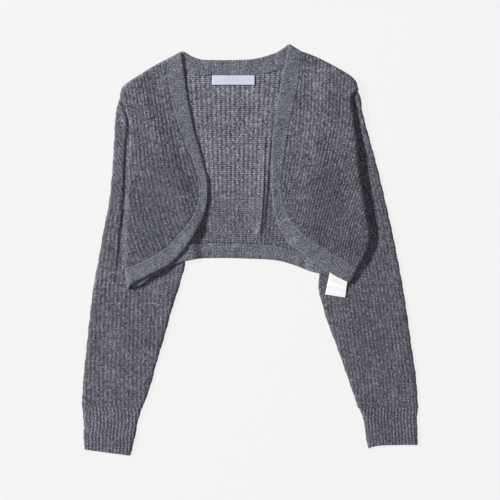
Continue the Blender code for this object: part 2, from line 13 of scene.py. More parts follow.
import bmesh
import bpy
import numpy as np
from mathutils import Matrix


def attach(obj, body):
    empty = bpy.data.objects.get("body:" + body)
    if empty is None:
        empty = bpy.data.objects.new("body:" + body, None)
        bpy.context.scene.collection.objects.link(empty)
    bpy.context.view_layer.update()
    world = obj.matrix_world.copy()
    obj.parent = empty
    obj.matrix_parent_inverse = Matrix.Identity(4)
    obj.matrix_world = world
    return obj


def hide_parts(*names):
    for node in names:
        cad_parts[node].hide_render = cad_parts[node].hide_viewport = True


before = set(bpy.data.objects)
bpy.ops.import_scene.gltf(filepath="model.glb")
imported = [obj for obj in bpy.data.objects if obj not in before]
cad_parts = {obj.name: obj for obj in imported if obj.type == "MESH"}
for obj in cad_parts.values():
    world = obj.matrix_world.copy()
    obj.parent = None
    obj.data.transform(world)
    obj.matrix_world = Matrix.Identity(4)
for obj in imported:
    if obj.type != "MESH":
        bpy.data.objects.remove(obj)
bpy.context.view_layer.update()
MM = 0.001
print("nodes:", sorted(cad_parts))

# %% [markdown]
# ## The outlines
#
# Every panel is a stack of rows, as a knitter makes it. A row of a front names its side edge, its
# seam with the band, and the band's free edge. A row of a sleeve names its outer and inner fold.
# Few rows are enough, because smooth curves go through them later.

# %% Rows of the fronts: side, seam and free edge, each as x and y
FRONT = {
    "right": [
        (-205.5, 255, -134, 305, -110, 318),
        (-207, 243, -131, 273, -104, 276),
        (-201, 229, -128, 256, -101, 256),
        (-196, 215, -125, 238, -98, 236),
        (-193, 203, -120, 219, -94, 218),
        (-192, 191, -115, 201, -91, 201),
        (-193, 162, -101, 164, -81, 164),
        (-194, 134, -89, 134, -73, 134),
        (-195, 108, -83, 108, -67, 108),
        (-196, 86, -82, 86, -67, 85),
        (-197, 65, -87, 64, -71, 61),
        (-198, 46, -97, 45, -80, 40),
        (-199, 28, -111, 28, -92, 20),
        (-200, 12, -127, 12, -107.5, -3),
        (-200, -2, -144, -3, -127, -22),
        (-200, -14, -163, -14, -150, -35),
        (-200, -22, -180, -22, -170, -45),
        (-200, -31, -193, -28, -185, -53),
        (-200, -31, -200, -31, -196, -62),
    ],
    "left": [
        (171.5, 263, 82, 318, 63, 330),
        (173, 255, 80.6, 300, 58.7, 311),
        (164.5, 246, 79, 279, 54, 289),
        (165, 223, 73, 244, 45, 247),
        (167, 202, 66, 214, 40, 209),
        (170, 180, 60, 182, 36, 178),
        (173, 154, 56, 154, 34, 153),
        (176, 129, 52, 129, 34, 127),
        (180, 103, 51, 103, 34, 102),
        (184, 81, 53, 81, 36, 76),
        (187, 58, 59, 62, 40, 53),
        (192, 33, 70, 42, 49, 31),
        (192, 17, 86, 26, 62, 10),
        (189, 3, 104, 13, 80, -3),
        (184, -9, 123, 0, 100, -17),
        (179, -18, 142, -11, 121, -32),
        (173.5, -29.5, 157, -20, 139, -43),
        (173, -30, 173, -30, 160, -53),
    ],
}
print("front rows:", {side: len(rows) for side, rows in FRONT.items()})

# %% Rows of the sleeves and cuffs: outer and inner fold
SLEEVE = {
    "right": [
        (-198, 260, -104, 17),
        (-207, 246, -104, 5),
        (-214, 220, -103, -7),
        (-217, 178, -104, -25),
        (-220, 130, -109, -44),
        (-225, 79, -115, -65),
        (-234, 31, -122, -86),
        (-242, -14, -128, -106),
        (-250, -57, -134, -129),
        (-256, -105, -142, -156),
        (-261, -153, -150, -183),
        (-266, -201, -159, -217),
        (-269, -252, -172, -253),
    ],
    "left": [
        (167, 263, 112, 8),
        (175, 249, 115, -4),
        (180, 220, 113, -22),
        (191, 178, 111, -41),
        (204, 130, 109, -58),
        (216, 79, 112, -74),
        (227, 31, 117, -92),
        (236, -14, 123, -113),
        (244, -57, 131, -134),
        (251, -102, 140, -158),
        (258, -153, 150, -186),
        (265, -201, 161, -218),
        (269, -252, 173, -253),
    ],
}
CUFF = {
    "right": [
        (-266, -273, -179, -274),
        (-266, -295, -184, -300),
        (-265, -318, -191, -328),
    ],
    "left": [
        (267, -273, 182, -274),
        (268, -294, 185, -297),
        (268, -311, 189, -317),
    ],
}
print("sleeve rows:", {side: len(rows) for side, rows in SLEEVE.items()})

# %% Rows of the bands on the back: seam and free edge
NECK_BAND = [
    (-127, 294, -113, 307),
    (-118, 288, -109, 317),
    (-105, 284, -93, 310),
    (-86, 280, -79, 305),
    (-60, 279, -60, 304),
    (-28, 279, -28, 304),
    (1, 279, 1, 305),
    (20, 281, 17, 308),
    (38, 285, 31, 312),
    (54, 291, 42, 316),
    (66, 299, 52, 322),
    (76, 307, 61, 329),
]
HEM_BAND = [
    (-195, -34, -188, -60),
    (-186, -30, -177, -58),
    (-172, -20, -159, -45),
    (-153, -10, -141, -33),
    (-132, -2, -122, -24),
    (-111, 5, -103, -18),
    (-99, 7, -93, -16),
    (-87, 9, -82, -14),
    (-60, 11, -58, -13),
    (-28, 11, -28, -13),
    (1, 10, -1, -14),
    (30, 8, 26, -15),
    (57, 3, 50, -18),
    (81, -4, 73, -25),
    (105, -13, 96, -34),
    (117, -18, 108, -37),
    (129, -22, 121, -40),
    (148, -28, 141, -46),
    (166, -34, 156, -51),
]
print("band rows:", len(NECK_BAND), len(HEM_BAND))

# %% [markdown]
# ## From a short table to a smooth stack of rows
#
# A curve through every column of the table turns a dozen rows into hundreds. Each row is then one
# course of the fabric or a part of one, so that stitches have somewhere to sit. The curve's slope
# at a row comes from the rows before and after it, so it goes through every row without a corner.

# %% Smooth rows
ROW_STEP = 1.3


def smooth_rows(table, step=ROW_STEP, extra=()):
    """Rows about one step apart on curves through a table, with extra ones that far from its start."""
    table = np.array(table, dtype=float)
    points = table.reshape(len(table), -1, 2)
    gaps = np.linalg.norm(np.diff(points, axis=0), axis=2).max(axis=1)
    place = np.concatenate(([0.0], np.cumsum(gaps)))
    slope = np.gradient(table, place, axis=0)
    at = np.linspace(0.0, place[-1], round(place[-1] / step) + 1)
    at = np.unique(np.concatenate((at, extra)))
    index = np.clip(np.searchsorted(place, at, side="right") - 1, 0, len(gaps) - 1)
    width = gaps[index][:, None]
    t = (at[:, None] - place[index][:, None]) / width
    start = table[index] * (2 * t**3 - 3 * t**2 + 1) + slope[index] * width * (t**3 - 2 * t**2 + t)
    end = table[index + 1] * (3 * t**2 - 2 * t**3) + slope[index + 1] * width * (t**3 - t**2)
    return start + end


def straight_rows(first, last, count):
    """Rows of points from first to last points, evenly spaced."""
    place = np.linspace(0.0, 1.0, count)[None, :, None]
    return first[:, None, :] * (1 - place) + last[:, None, :] * place


def on_rows(rows, places):
    """The points at places from 0 to 1 along each row."""
    at = np.linspace(0.0, 1.0, rows.shape[1])
    found = []
    for row, place in zip(rows, places):
        found.append([np.interp(place, at, row[:, 0]), np.interp(place, at, row[:, 1])])
    return np.array(found).transpose(0, 2, 1)


print("rows of the right front:", smooth_rows(FRONT["right"]).shape)

# %% [markdown]
# ## Soft steps and distances
#
# Cloth never turns a sharp corner. It comes down beside what it lies on in a soft step, and folds
# over in a round. Both only need to know how far a point is from a line, so that is the one
# measuring tool that the whole garment shares.

# %% Soft steps, round folds and distances
def smooth(value):
    value = np.clip(value, 0.0, 1.0)
    return value * value * (3 - 2 * value)


def fold(value):
    """Quarter of an ellipse: 0 at its foot and 1 at its crown."""
    return np.sqrt(1 - (1 - np.clip(value, 0.0, 1.0)) ** 2)


def distance_to(line, x, y):
    """Distance of each point from a line of points."""
    nearest = np.full(np.shape(x), np.inf)
    for (ax, ay), (bx, by) in zip(line[:-1], line[1:]):
        dx, dy = bx - ax, by - ay
        length = dx * dx + dy * dy
        if length > 0:
            t = np.clip(((x - ax) * dx + (y - ay) * dy) / length, 0.0, 1.0)
            nearest = np.minimum(nearest, np.hypot(x - ax - t * dx, y - ay - t * dy))
    return nearest


def inside(outline, x, y):
    """Which points are inside a closed outline."""
    result = np.zeros(np.shape(x), dtype=bool)
    for (ax, ay), (bx, by) in zip(outline, np.roll(outline, -1, axis=0)):
        if ay != by:
            crosses = (ay > y) != (by > y)
            result ^= crosses & (x < ax + (y - ay) * (bx - ax) / (by - ay))
    return result


def hand(side):
    """+1 on the wearer's left, which is at +X."""
    return 1 if side == "left" else -1


print("a fold at half its width:", fold(0.5))

# %% [markdown]
# ## How high each layer lies
#
# The sleeves lie on the table. The back lies on the table in the middle and on the sleeves at its
# sides, and the fronts lie on the back. Each of the two steps down beside a sleeve is a function of
# the distance from the sleeve's outline, and the same function serves every piece that lies there.
# Soft layers don't press flat on each other, so a little looseness is added between them.

# %% Layer heights
WALL = 2.2
RIB_HEIGHT = 0.9
BAND_WALL = 2.6
SLEEVE_SLIT = 0.6
LOOSE_ON_SLEEVE = 0.5
LOOSE_ON_BACK = 1.2
SLEEVE_HEIGHT = 2 * WALL + SLEEVE_SLIT
OVER_SLEEVE = SLEEVE_HEIGHT + RIB_HEIGHT + LOOSE_ON_SLEEVE
OVER_BACK = WALL + RIB_HEIGHT + LOOSE_ON_BACK
BACK_SLOPE = (10.0, 28.0)
FRONT_SLOPE = {"right": (14.0, 48.0), "left": (30.0, 75.0)}
OUTLINE_STEP = 12.0

SLEEVE_OUTLINES = []
for sleeve_table in SLEEVE.values():
    sleeve_rows = smooth_rows(sleeve_table, OUTLINE_STEP)
    SLEEVE_OUTLINES.append(np.concatenate((sleeve_rows[:, :2], sleeve_rows[::-1, 2:])))


def sleeve_cover(x, y, slope):
    """1 over a sleeve and up to the slope's first distance beside it, and 0 from its second on."""
    near, far = slope
    cover = np.zeros(np.shape(x))
    for outline in SLEEVE_OUTLINES:
        rim = np.vstack((outline, outline[:1]))
        away = np.where(inside(outline, x, y), 0.0, distance_to(rim, x, y))
        cover = np.maximum(cover, 1 - smooth((away - near) / (far - near)))
    return cover


def back_base(x, y):
    return OVER_SLEEVE * sleeve_cover(x, y, BACK_SLOPE)


def front_base(side, x, y):
    return OVER_BACK + OVER_SLEEVE * sleeve_cover(x, y, FRONT_SLOPE[side])


middle_and_side = back_base(np.array([0.0, -150.0]), np.array([100.0, 0.0]))
print("under the back at its middle and over a sleeve:", middle_and_side)

# %% [markdown]
# ## Creases
#
# Cloth that was laid down by hand keeps soft ridges and troughs, and its free edges stand up a
# little. Each is a line along the cloth with a height, a width on its two sides, and the length over
# which its ends fade. A ridge with one narrow side is a fold that leans over, and a wide low one
# only lifts an edge.

# %% Ridges, troughs and lifted edges of each piece
Crease = namedtuple("Crease", "height right_width left_width fade line")
CREASES = {
    "sleeve_left": [
        Crease(
            4.5, 5.0, 5.0, 100.0,
            ((169, 380), (170, 262), (171.5, 245), (176, 222), (181, 195), (186, 160)),
        ),
        Crease(
            -2.6, 6.0, 6.0, 20.0,
            ((165, 246), (170, 220), (175, 195), (180, 165), (184, 135), (189, 95), (195, 60),
             (200, 31), (199, 7), (193, -14), (182, -36)),
        ),
    ],
    "sleeve_right": [
        Crease(
            3.0, 5.0, 5.0, 50.0,
            ((-217, 285), (-212, 243), (-206, 229), (-201, 215), (-198, 203), (-197, 180), (-198, 150)),
        ),
        Crease(
            -2.8, 2.6, 5.0, 60.0,
            ((-192, 225), (-195, 200), (-197.5, 159), (-199, 127), (-200.5, 95), (-202, 71),
             (-204, 39), (-206, 7), (-207, -25), (-208, -56)),
        ),
        Crease(-1.2, 1.6, 1.6, 15.0, ((-208, 50), (-209, 10), (-211, -33), (-214, -60))),
        Crease(-2.4, 10.0, 10.0, 14.0, ((-172, -70), (-150, -50), (-132, -38), (-112, -33))),
    ],
    "back": [
        Crease(0.8, 4.0, 2.6, 14.0, ((40, 232), (37, 205), (33, 180), (31, 165))),
        Crease(
            1.2, 5.0, 2.8, 14.0,
            ((33, 182), (30, 150), (28, 125), (27, 100), (25, 79), (21, 44), (13, 16)),
        ),
        Crease(
            1.7, 5.0, 1.5, 12.0,
            ((23.5, 186), (23, 160), (22.5, 140), (22, 110), (21, 85), (18, 50), (14, 20)),
        ),
        Crease(3.2, 18.0, 10.0, 22.0, ((21, 128), (20, 100), (18, 70), (17, 50), (14, 10))),
    ],
    "front_left": [
        Crease(3.0, 20.0, 20.0, 40.0, ((166, 190), (176, 120), (184, 60), (188, 25), (180, -8))),
        Crease(1.5, 14.0, 14.0, 40.0, ((42, 220), (35, 178), (34, 127), (36, 80), (46, 40), (70, 8))),
    ],
    "front_right": [
        Crease(1.0, 12.0, 12.0, 30.0, ((-69, 78), (-73, 56), (-84, 36), (-97, 16), (-112, -2))),
        Crease(1.8, 7.0, 7.0, 6.0, ((-203, -76), (-185, -46))),
        Crease(
            -1.0, 12.0, 12.0, 25.0,
            ((-104, 290), (-98, 236), (-91, 201), (-81, 164), (-73, 134), (-68, 112)),
        ),
        Crease(-0.9, 3.4, 3.4, 5.0, ((-128, 245), (-116, 240), (-98, 235))),
    ],
}
print("creases:", {piece: len(lines) for piece, lines in CREASES.items()})


# %% The height that creases add
def creased(piece, x, y):
    """Height that a piece's creases add at each point."""
    total = np.zeros(np.shape(x))
    for crease in CREASES.get(piece, ()):
        steps = np.diff(np.array(crease.line, dtype=float), axis=0)
        lengths = np.linalg.norm(steps, axis=1)
        starts = np.concatenate(([0.0], np.cumsum(lengths)))
        nearest = np.full(np.shape(x), np.inf)
        leftward = np.zeros(np.shape(x))
        place = np.zeros(np.shape(x))
        directions = steps / lengths[:, None]
        for (ax, ay), (dx, dy), start, length in zip(crease.line, directions, starts, lengths):
            along = np.clip((x - ax) * dx + (y - ay) * dy, 0.0, length)
            away = np.hypot(x - ax - along * dx, y - ay - along * dy)
            closer = away < nearest
            nearest = np.where(closer, away, nearest)
            leftward = np.where(closer, dx * (y - ay) - dy * (x - ax), leftward)
            place = np.where(closer, start + along, place)
        width = np.where(leftward > 0, crease.left_width, crease.right_width)
        ends = smooth(np.minimum(place, starts[-1] - place) / crease.fade)
        total += crease.height * np.exp(-((nearest / width) ** 2)) * ends
    return total


print("the back's fold halfway down:", creased("back", np.array([20.0]), np.array([100.0])))

# %% [markdown]
# ## Stitches
#
# Ribbing is columns of knit stitches that stand up between narrow sunken columns. Each stitch is a
# V, because its two legs lean together, and on the inside of the fabric the same loops show as
# short bars. Knitted wool is never even, so the columns wander, fill up in places and are slacker
# here and there. Smooth random heights from a seeded table do that the same way each run.

# %% Uneven heights
LUCK_SEED = 7
LUCK_SIZE = (97, 89)
LUCK = np.random.default_rng(LUCK_SEED).uniform(-1.0, 1.0, LUCK_SIZE)


def uneven(rib, course, grain, start=(0.0, 0.0)):
    """Smooth random heights from -1 to 1. The grain is how often they change per rib and course."""
    u, v = rib * grain[0] + start[0], course * grain[1] + start[1]
    column, row = np.floor(u).astype(int), np.floor(v).astype(int)
    across, down = smooth(u - column), smooth(v - row)

    def corner(right, below):
        return LUCK[(column + right) % LUCK_SIZE[0], (row + below) % LUCK_SIZE[1]]

    near = corner(0, 0) * (1 - across) + corner(1, 0) * across
    far = corner(0, 1) * (1 - across) + corner(1, 1) * across
    return near * (1 - down) + far * down


print("uneven heights:", [round(float(uneven(rib, 0.5, (1.0, 1.0))), 2) for rib in range(4)])

# %% Relief of the stitches
COURSE = 3.3
COLUMNS_PER_RIB = 6
STITCH_DEPTH = 0.45
BAR_DEPTH = 0.85
LEG_LEAN = 0.5
ARCH_POWER = 0.5
WIDE_ARCH = 0.85
RIB_WANDER = 0.17
WANDER_GRAIN = (0.8, 0.6)
FILL = 0.35
FILL_GAIN = 1.6
FILL_GRAIN = (1.7, 0.3)
PHASE_LUCK = 0.2
PHASE_GRAIN = (1.3, 0.7)
PHASE_START = (40.0, 0.0)
DEPTH_LUCK = 0.5
DEPTH_GRAIN = (2.0, 1.0)
TENSION_LUCK = 0.3
TENSION_GRAIN = (0.3, 0.12)
TENSION_START = (11.0, 5.0)
SLACK_FLATTENS = 0.5


def ribbing(rib, course, bars=False, wander=RIB_WANDER, slack=0.0, power=ARCH_POWER):
    """Height from 0 in the sunken columns to about 1 on the crest of a stitch."""
    wandered = rib + wander * uneven(rib, course, WANDER_GRAIN)
    across = wandered - np.floor(wandered)
    filled = FILL * np.clip(FILL_GAIN * uneven(np.round(wandered), course, FILL_GRAIN), 0.0, 1.0)
    arch = np.maximum(np.maximum(filled, slack), np.abs(np.sin(np.pi * across)) ** power)
    lean = 0.0 if bars else LEG_LEAN * np.abs(2 * across - 1)
    phase = course + lean + PHASE_LUCK * uneven(rib, course, PHASE_GRAIN, PHASE_START)
    stitch = 0.5 + 0.5 * np.cos(2 * np.pi * phase)
    depth = (BAR_DEPTH if bars else STITCH_DEPTH) * (1 + DEPTH_LUCK * uneven(rib, course, DEPTH_GRAIN))
    depth = depth * (1 - SLACK_FLATTENS * slack)
    tension = 1 - TENSION_LUCK + TENSION_LUCK * uneven(rib, course, TENSION_GRAIN, TENSION_START)
    return tension * arch * (1 - depth * (1 - stitch))


print("crest and valley:", ribbing(0.5, 0.0), ribbing(0.0, 0.0))

# %% [markdown]
# ## Where the ribs go slack
#
# The ribs stand clear at the shoulders, where the garment's weight pulled on them, and are nearly
# gone low on the back and fainter low on the fronts, where the cloth lies loose. Beside a seam the
# fabric is drawn down. Vertices follow the ribs, so a column of them is a place along each row.

# %% Slack ribs, seams and columns
Slackness = namedtuple("Slackness", "least more top reach")
SLACKNESS = {"front": Slackness(0.05, 0.33, 190.0, 80.0), "back": Slackness(0.0, 0.6, 120.0, 50.0)}
SEAM_DEPTH = 0.55
SEAM_REACH = 1.6


def slackness(panel, y):
    """From 0 where the ribs are clear to 1 where they are gone: least above top, and more below."""
    least, more, top, reach = SLACKNESS[panel]
    return least + more * smooth((top - y) / reach)


def seam_dip(distance):
    """How far a panel sinks beside a seam."""
    return SEAM_DEPTH * np.exp(-((distance / SEAM_REACH) ** 2))


def rib_columns(keys, low, high, grid=None):
    """Place along each row of every rib column, held between a lowest and a highest place."""
    if grid is None:
        grid = np.arange(math.floor(keys.min()), math.ceil(keys.max()), 1 / COLUMNS_PER_RIB)
    at = np.linspace(0.0, 1.0, keys.shape[1])
    found = [np.interp(grid, row, at) for row in keys]
    return np.clip(found, low[:, None], high[:, None])


print("slackness of the back at 150, 100 and 50:", slackness("back", np.array([150.0, 100.0, 50.0])))

# %% [markdown]
# ## Cloth from a grid
#
# A sheet of knitting is a grid of columns and rows, so each piece starts as Blender's own grid and
# every vertex moves to its place. A grid can also go right round: the last columns come back under
# the piece and meet the first, and welding closes the cloth. Where a rib ends at an edge, its
# vertices meet there and the same weld takes them away, as a knitter casts off stitches.
#
# The rib number, the course number and the slackness of each point are all that the relief needs.
# They also go into the "knit" attribute, so that the colour and the bumps follow the ribs.

# %% A grid moved to its place
WELD = 1e-6
CLOTH = bpy.data.collections.new("bolero")
bpy.context.scene.collection.children.link(CLOTH)


def add_object(name, data, collection):
    added = bpy.data.objects.new(name, data)
    collection.objects.link(added)
    return added


def grid_mesh(name, columns, rows, size=1.0, height=0.0):
    """Blender's own grid as a mesh, with that many columns and rows of faces."""
    mesh = bpy.data.meshes.new(name)
    bm = bmesh.new()
    bmesh.ops.create_grid(bm, x_segments=columns, y_segments=rows, size=size)
    bmesh.ops.translate(bm, vec=(0.0, 0.0, height), verts=bm.verts)
    bm.to_mesh(mesh)
    bm.free()
    return mesh


def cloth(name, points, knit, open_ends=False):
    """A grid of rows and columns at the given millimetre points, with its knit numbers."""
    rows, columns = points.shape[:2]
    mesh = grid_mesh(name, columns - 1, rows - 1)
    mesh.vertices.foreach_set("co", (points * MM).ravel())
    mesh.attributes.new("knit", "FLOAT_VECTOR", "POINT").data.foreach_set("vector", knit.ravel())
    bm = bmesh.new()
    bm.from_mesh(mesh)
    bmesh.ops.remove_doubles(bm, verts=bm.verts, dist=WELD)
    if not open_ends:
        rim = [edge for edge in bm.edges if edge.is_boundary]
        bmesh.ops.holes_fill(bm, edges=rim, sides=0)
    bmesh.ops.recalc_face_normals(bm, faces=bm.faces)
    triangles = sum(len(face.verts) - 2 for face in bm.faces)
    still_open = sum(edge.is_boundary for edge in bm.edges)
    if not still_open and bm.calc_volume(signed=True) < 0:
        bmesh.ops.reverse_faces(bm, faces=bm.faces)
    bm.to_mesh(mesh)
    bm.free()
    mesh.shade_smooth()
    print(f"{name}: {triangles} triangles, {still_open} open edges")
    return add_object(name, mesh, CLOTH)


print("the cloth goes into:", CLOTH.name)


# %% Grids of points and of knit numbers
def xy(points):
    """The x and the y of a grid of points."""
    return points[:, :, 0], points[:, :, 1]


def with_height(points, z):
    return np.concatenate((points, z[:, :, None]), axis=2)


def both_sides(top, z, low, z_low):
    """A grid that goes over a piece and comes back under it."""
    return np.hstack((with_height(top, z), with_height(low, z_low)))


def closed(points):
    """A grid whose last column is its first again."""
    return np.hstack((points, points[:, :1]))


def knit_numbers(rib, course, slack=0.0):
    """Rib, course and slackness of each point."""
    return np.stack((rib, course, slack + 0 * rib), axis=2)


print("a closed row of two points has", closed(np.zeros((1, 2, 3))).shape[1])

# %% [markdown]
# ## The fronts
#
# A front is knitted as a flat shield and hangs from the shoulder. Here it lies on the back, and its
# shoulder and side are folded down round the back's edge. So its rows run from the side to the seam
# with the band, and the line that the cloth folds down to goes along the shoulder, round its tip,
# down the side and along the band's end.

# %% The rows of a front and the rim that it folds down to
RIM = 5.5
RIM_EVERY = 4
DENSE = 60
FIRST_ROWS = (0.35, 0.8, 1.9)
SHOULDER_BULGE = {"right": 5.5, "left": 9.5}
BULGE_REACH = {"right": 0.14, "left": 0.22}
BULGE_FADES_OVER = 70.0


def front_table(side, step=ROW_STEP):
    """Smooth rows of a front: side, seam and free edge."""
    return smooth_rows(FRONT[side][:-1], step, FIRST_ROWS)


def shoulder_rows(side, table):
    """Rows of points from the side to the seam, which rise in the shoulder's curve at the top."""
    rows = straight_rows(table[:, :2], table[:, 2:4], DENSE)
    drop = (table[0, 1] + table[0, 3] - table[:, 1] - table[:, 3]) / 2
    place = np.linspace(0.0, 1.0, DENSE)
    rise = SHOULDER_BULGE[side] * np.clip(1 - drop / BULGE_FADES_OVER, 0.0, None)
    rows[:, :, 1] += rise[:, None] * fold(place / BULGE_REACH[side]) * (1 - place**3)
    return rows


def rim_line(side):
    """From the neck along the shoulder, round its tip, down the side and along the band's end."""
    table = front_table(side, OUTLINE_STEP / RIM_EVERY)
    shoulder = shoulder_rows(side, table[:1])[0][::-RIM_EVERY]
    last = np.array(FRONT[side][-1], dtype=float)
    return np.vstack((table[:1, 4:], shoulder, table[1:, :2], last[:2], last[4:]))


RIM_LINES = {side: rim_line(side) for side in FRONT}
print("points on the rims:", {side: len(line) for side, line in RIM_LINES.items()})

# %% [markdown]
# ## The two faces of a front
#
# The upper face and the underside have the same shape, one wall apart: they follow what lies below
# them, and come down to the rim in a round. At the tip of the shoulder the rim rises at the armhole
# and drops round the end of the sleeve, so that no gap shows there from the side.

# %% Upper and under side of a front
SHOULDER_TIPS = {
    "right": ((-208.0, 242.0, 0.6, 26.0), (-203.5, 257.0, -3.6, 14.0)),
    "left": ((170.0, 248.0, 1.6, 26.0), (171.0, 263.0, -3.8, 13.0)),
}


def rim_base(side, x, y):
    """Where a front's rim comes down to: higher at the armhole, lower round the sleeve's end."""
    base = back_base(x, y)
    for tip_x, tip_y, lift, reach in SHOULDER_TIPS[side]:
        base = base + lift * np.exp(-((x - tip_x) ** 2 + (y - tip_y) ** 2) / reach**2)
    return base


def front_face(side, x, y, rise, inset):
    """A face that is rise above the underside, and comes down to a rim that far inside the outline."""
    low = rim_base(side, x, y)
    high = front_base(side, x, y) + creased(f"front_{side}", x, y) + rise
    return low + (high - low) * fold((distance_to(RIM_LINES[side], x, y) - inset) / (RIM - inset))


def front_top(side, x, y, wall):
    return front_face(side, x, y, wall, 0.0)


def front_under(side, x, y):
    return front_face(side, x, y, 0.0, WALL)


left_middle = np.array([100.0]), np.array([150.0])
faces = front_under("left", *left_middle), front_top("left", *left_middle, WALL)
print("underside and top in the middle of the left front:", faces)

# %% [markdown]
# ## The ribs of a front
#
# A front hangs from the shoulder and its lower corner is round, so its ribs drift sideways on the
# way down and fan out from the band. The table gives that drift, and the pitch changes from the
# shoulder to the hem. Courses stay square to the ribs, so they lean with the drift.

# %% Rib and course numbers of a front
FRONT_WANDER = 0.2
FRONT_ARCH = 0.65
FRONT_PITCH = {"right": (5.7, 7.3), "left": (5.7, 4.4)}
PITCH_CHANGES_OVER = 230.0
ANCHOR_ROW = 6
RIB_ANCHOR = {side: rows[ANCHOR_ROW][2] for side, rows in FRONT.items()}
RIB_DRIFT = {
    "right": ((320, 0), (191, 22), (135, 36), (60, 63), (-35, 103)),
    "left": ((327, 0), (207, -4), (159, -8), (111, -14), (63, -21), (15, -29), (-33, -38)),
}


def front_numbers(side, x, y):
    """Rib and course number at each point of a front."""
    table = np.array(sorted(RIB_DRIFT[side]), dtype=float)
    drift = np.interp(y, table[:, 0], table[:, 1])
    lean = np.interp(y, table[:, 0], np.gradient(table[:, 1], table[:, 0]))
    upper, lower = FRONT_PITCH[side]
    pitch = upper + (lower - upper) * smooth((PITCH_CHANGES_OVER - y) / PITCH_CHANGES_OVER)
    from_band = x - RIB_ANCHOR[side]
    return hand(side) * (drift - from_band) / pitch, -(y + lean * from_band) / COURSE


print("rib and course in the left front:", front_numbers("left", *left_middle))

# %% [markdown]
# ## A front in one piece
#
# The top is a fine grid whose columns are the ribs, with a few more to round the rim. The underside
# is never seen, so a coarse grid does. Short rows at the tip of the shoulder have no room for all
# columns, so what they give to the rim is held back.

# %% The two fronts
RIM_DEPTHS = (0.0, 0.35, 0.9, 1.7, 2.8)
UNDER_DEPTHS = (RIM, 3.5, WALL)
RIM_SHARE = 0.9
UNDER_SHARE = 0.95
UNDER_COLUMNS = 14


def front_places(side, rows, length):
    """Places from 0 to 1 along each row for the columns of the top and of the underside."""
    keys = front_numbers(side, *xy(rows))[0]
    rim = np.clip(np.outer(1 / length, RIM_DEPTHS), 0.0, RIM_SHARE)
    ribs = rib_columns(keys, rim[:, -1], np.ones(len(rows)))
    upper = np.hstack((rim, ribs, np.ones((len(rows), 1))))
    fold_in = np.clip(np.outer(1 / length, UNDER_DEPTHS), 0.0, UNDER_SHARE)
    spread = np.linspace(1.0, 0.0, UNDER_COLUMNS + 1)[None, :-1]
    return upper, np.hstack((fold_in[:, :1] + (1 - fold_in[:, :1]) * spread, fold_in))


def make_front(side):
    rows = shoulder_rows(side, front_table(side))
    length = np.linalg.norm(rows[:, -1] - rows[:, 0], axis=1)
    upper, under = front_places(side, rows, length)
    top, low = on_rows(rows, upper), on_rows(rows, under)
    x, y = xy(top)
    edge = smooth(distance_to(RIM_LINES[side], x, y) / RIM)
    sewn = seam_dip((1 - upper) * length[:, None]) * edge
    look = {"wander": FRONT_WANDER, "slack": slackness("front", y), "power": FRONT_ARCH}
    relief = RIB_HEIGHT * ribbing(*front_numbers(side, x, y), **look)
    z = front_top(side, x, y, WALL) + relief * edge - sewn
    points = closed(both_sides(top, z, low, front_under(side, *xy(low))))
    x, y = xy(points)
    knit = knit_numbers(*front_numbers(side, x, y), slackness("front", y))
    return cloth(f"knit_front_{side}", points, knit)


fronts = {side: make_front(side) for side in FRONT}

# %% [markdown]
# ## The edges of the back
#
# The back reaches under the fronts to just inside their folded shoulders and sides, and up to the
# neck band and down to the hem band in the opening. Its edges follow those pieces' own rows, moved
# in by an inset or by the seam's gap, so that nothing has to be measured twice.

# %% Edges of the back
SEAM_GAP = 0.05
BACK_INSET = 3.5
BACK_INSET_ASIDE = 0.5
BACK_EVERY = 6
BACK_TIP = 10.0
BACK_SIDE_REACH = 15.0


def seam_line(rows):
    """The back's edge along a band, a seam's gap away."""
    rows = np.array(rows, dtype=float)
    away = rows[:, :2] - rows[:, 2:]
    return rows[:, :2] + SEAM_GAP * away / np.linalg.norm(away, axis=1)[:, None]


def back_shoulder(side):
    """The back's edge inside the folded shoulder of a front, from the neck out to its tip."""
    line = shoulder_rows(side, front_table(side)[:1])[0][::-BACK_EVERY]
    line = line[1:] + np.array([-hand(side) * BACK_INSET_ASIDE, -1.0]) * BACK_INSET
    armhole = min(hand(side) * row[0] for row in FRONT[side][:2])
    return line[hand(side) * line[:, 0] < armhole - BACK_TIP]


def back_side(side):
    """The back's side edge, inside the folded side of the front."""
    line = np.array([row[:2] for row in FRONT[side][1:-2]], dtype=float)
    line = np.vstack((line, np.array(FRONT[side][-1][4:], dtype=float)))
    line = line[np.argsort(line[:, 1])]
    shifts = (-BACK_SIDE_REACH, 0.0, BACK_SIDE_REACH)
    near = np.array([np.interp(line[:, 1] + shift, *line.T[::-1]) for shift in shifts])
    line[:, 0] = hand(side) * (np.min(near * hand(side), axis=0) - BACK_INSET)
    return line


print("points on the back's edges:", {side: len(back_side(side)) for side in FRONT})

# %% Rows of the back
BACK_ROWS = 270
BACK_DENSE = 300
BACK_TIP_REACH = 25.0


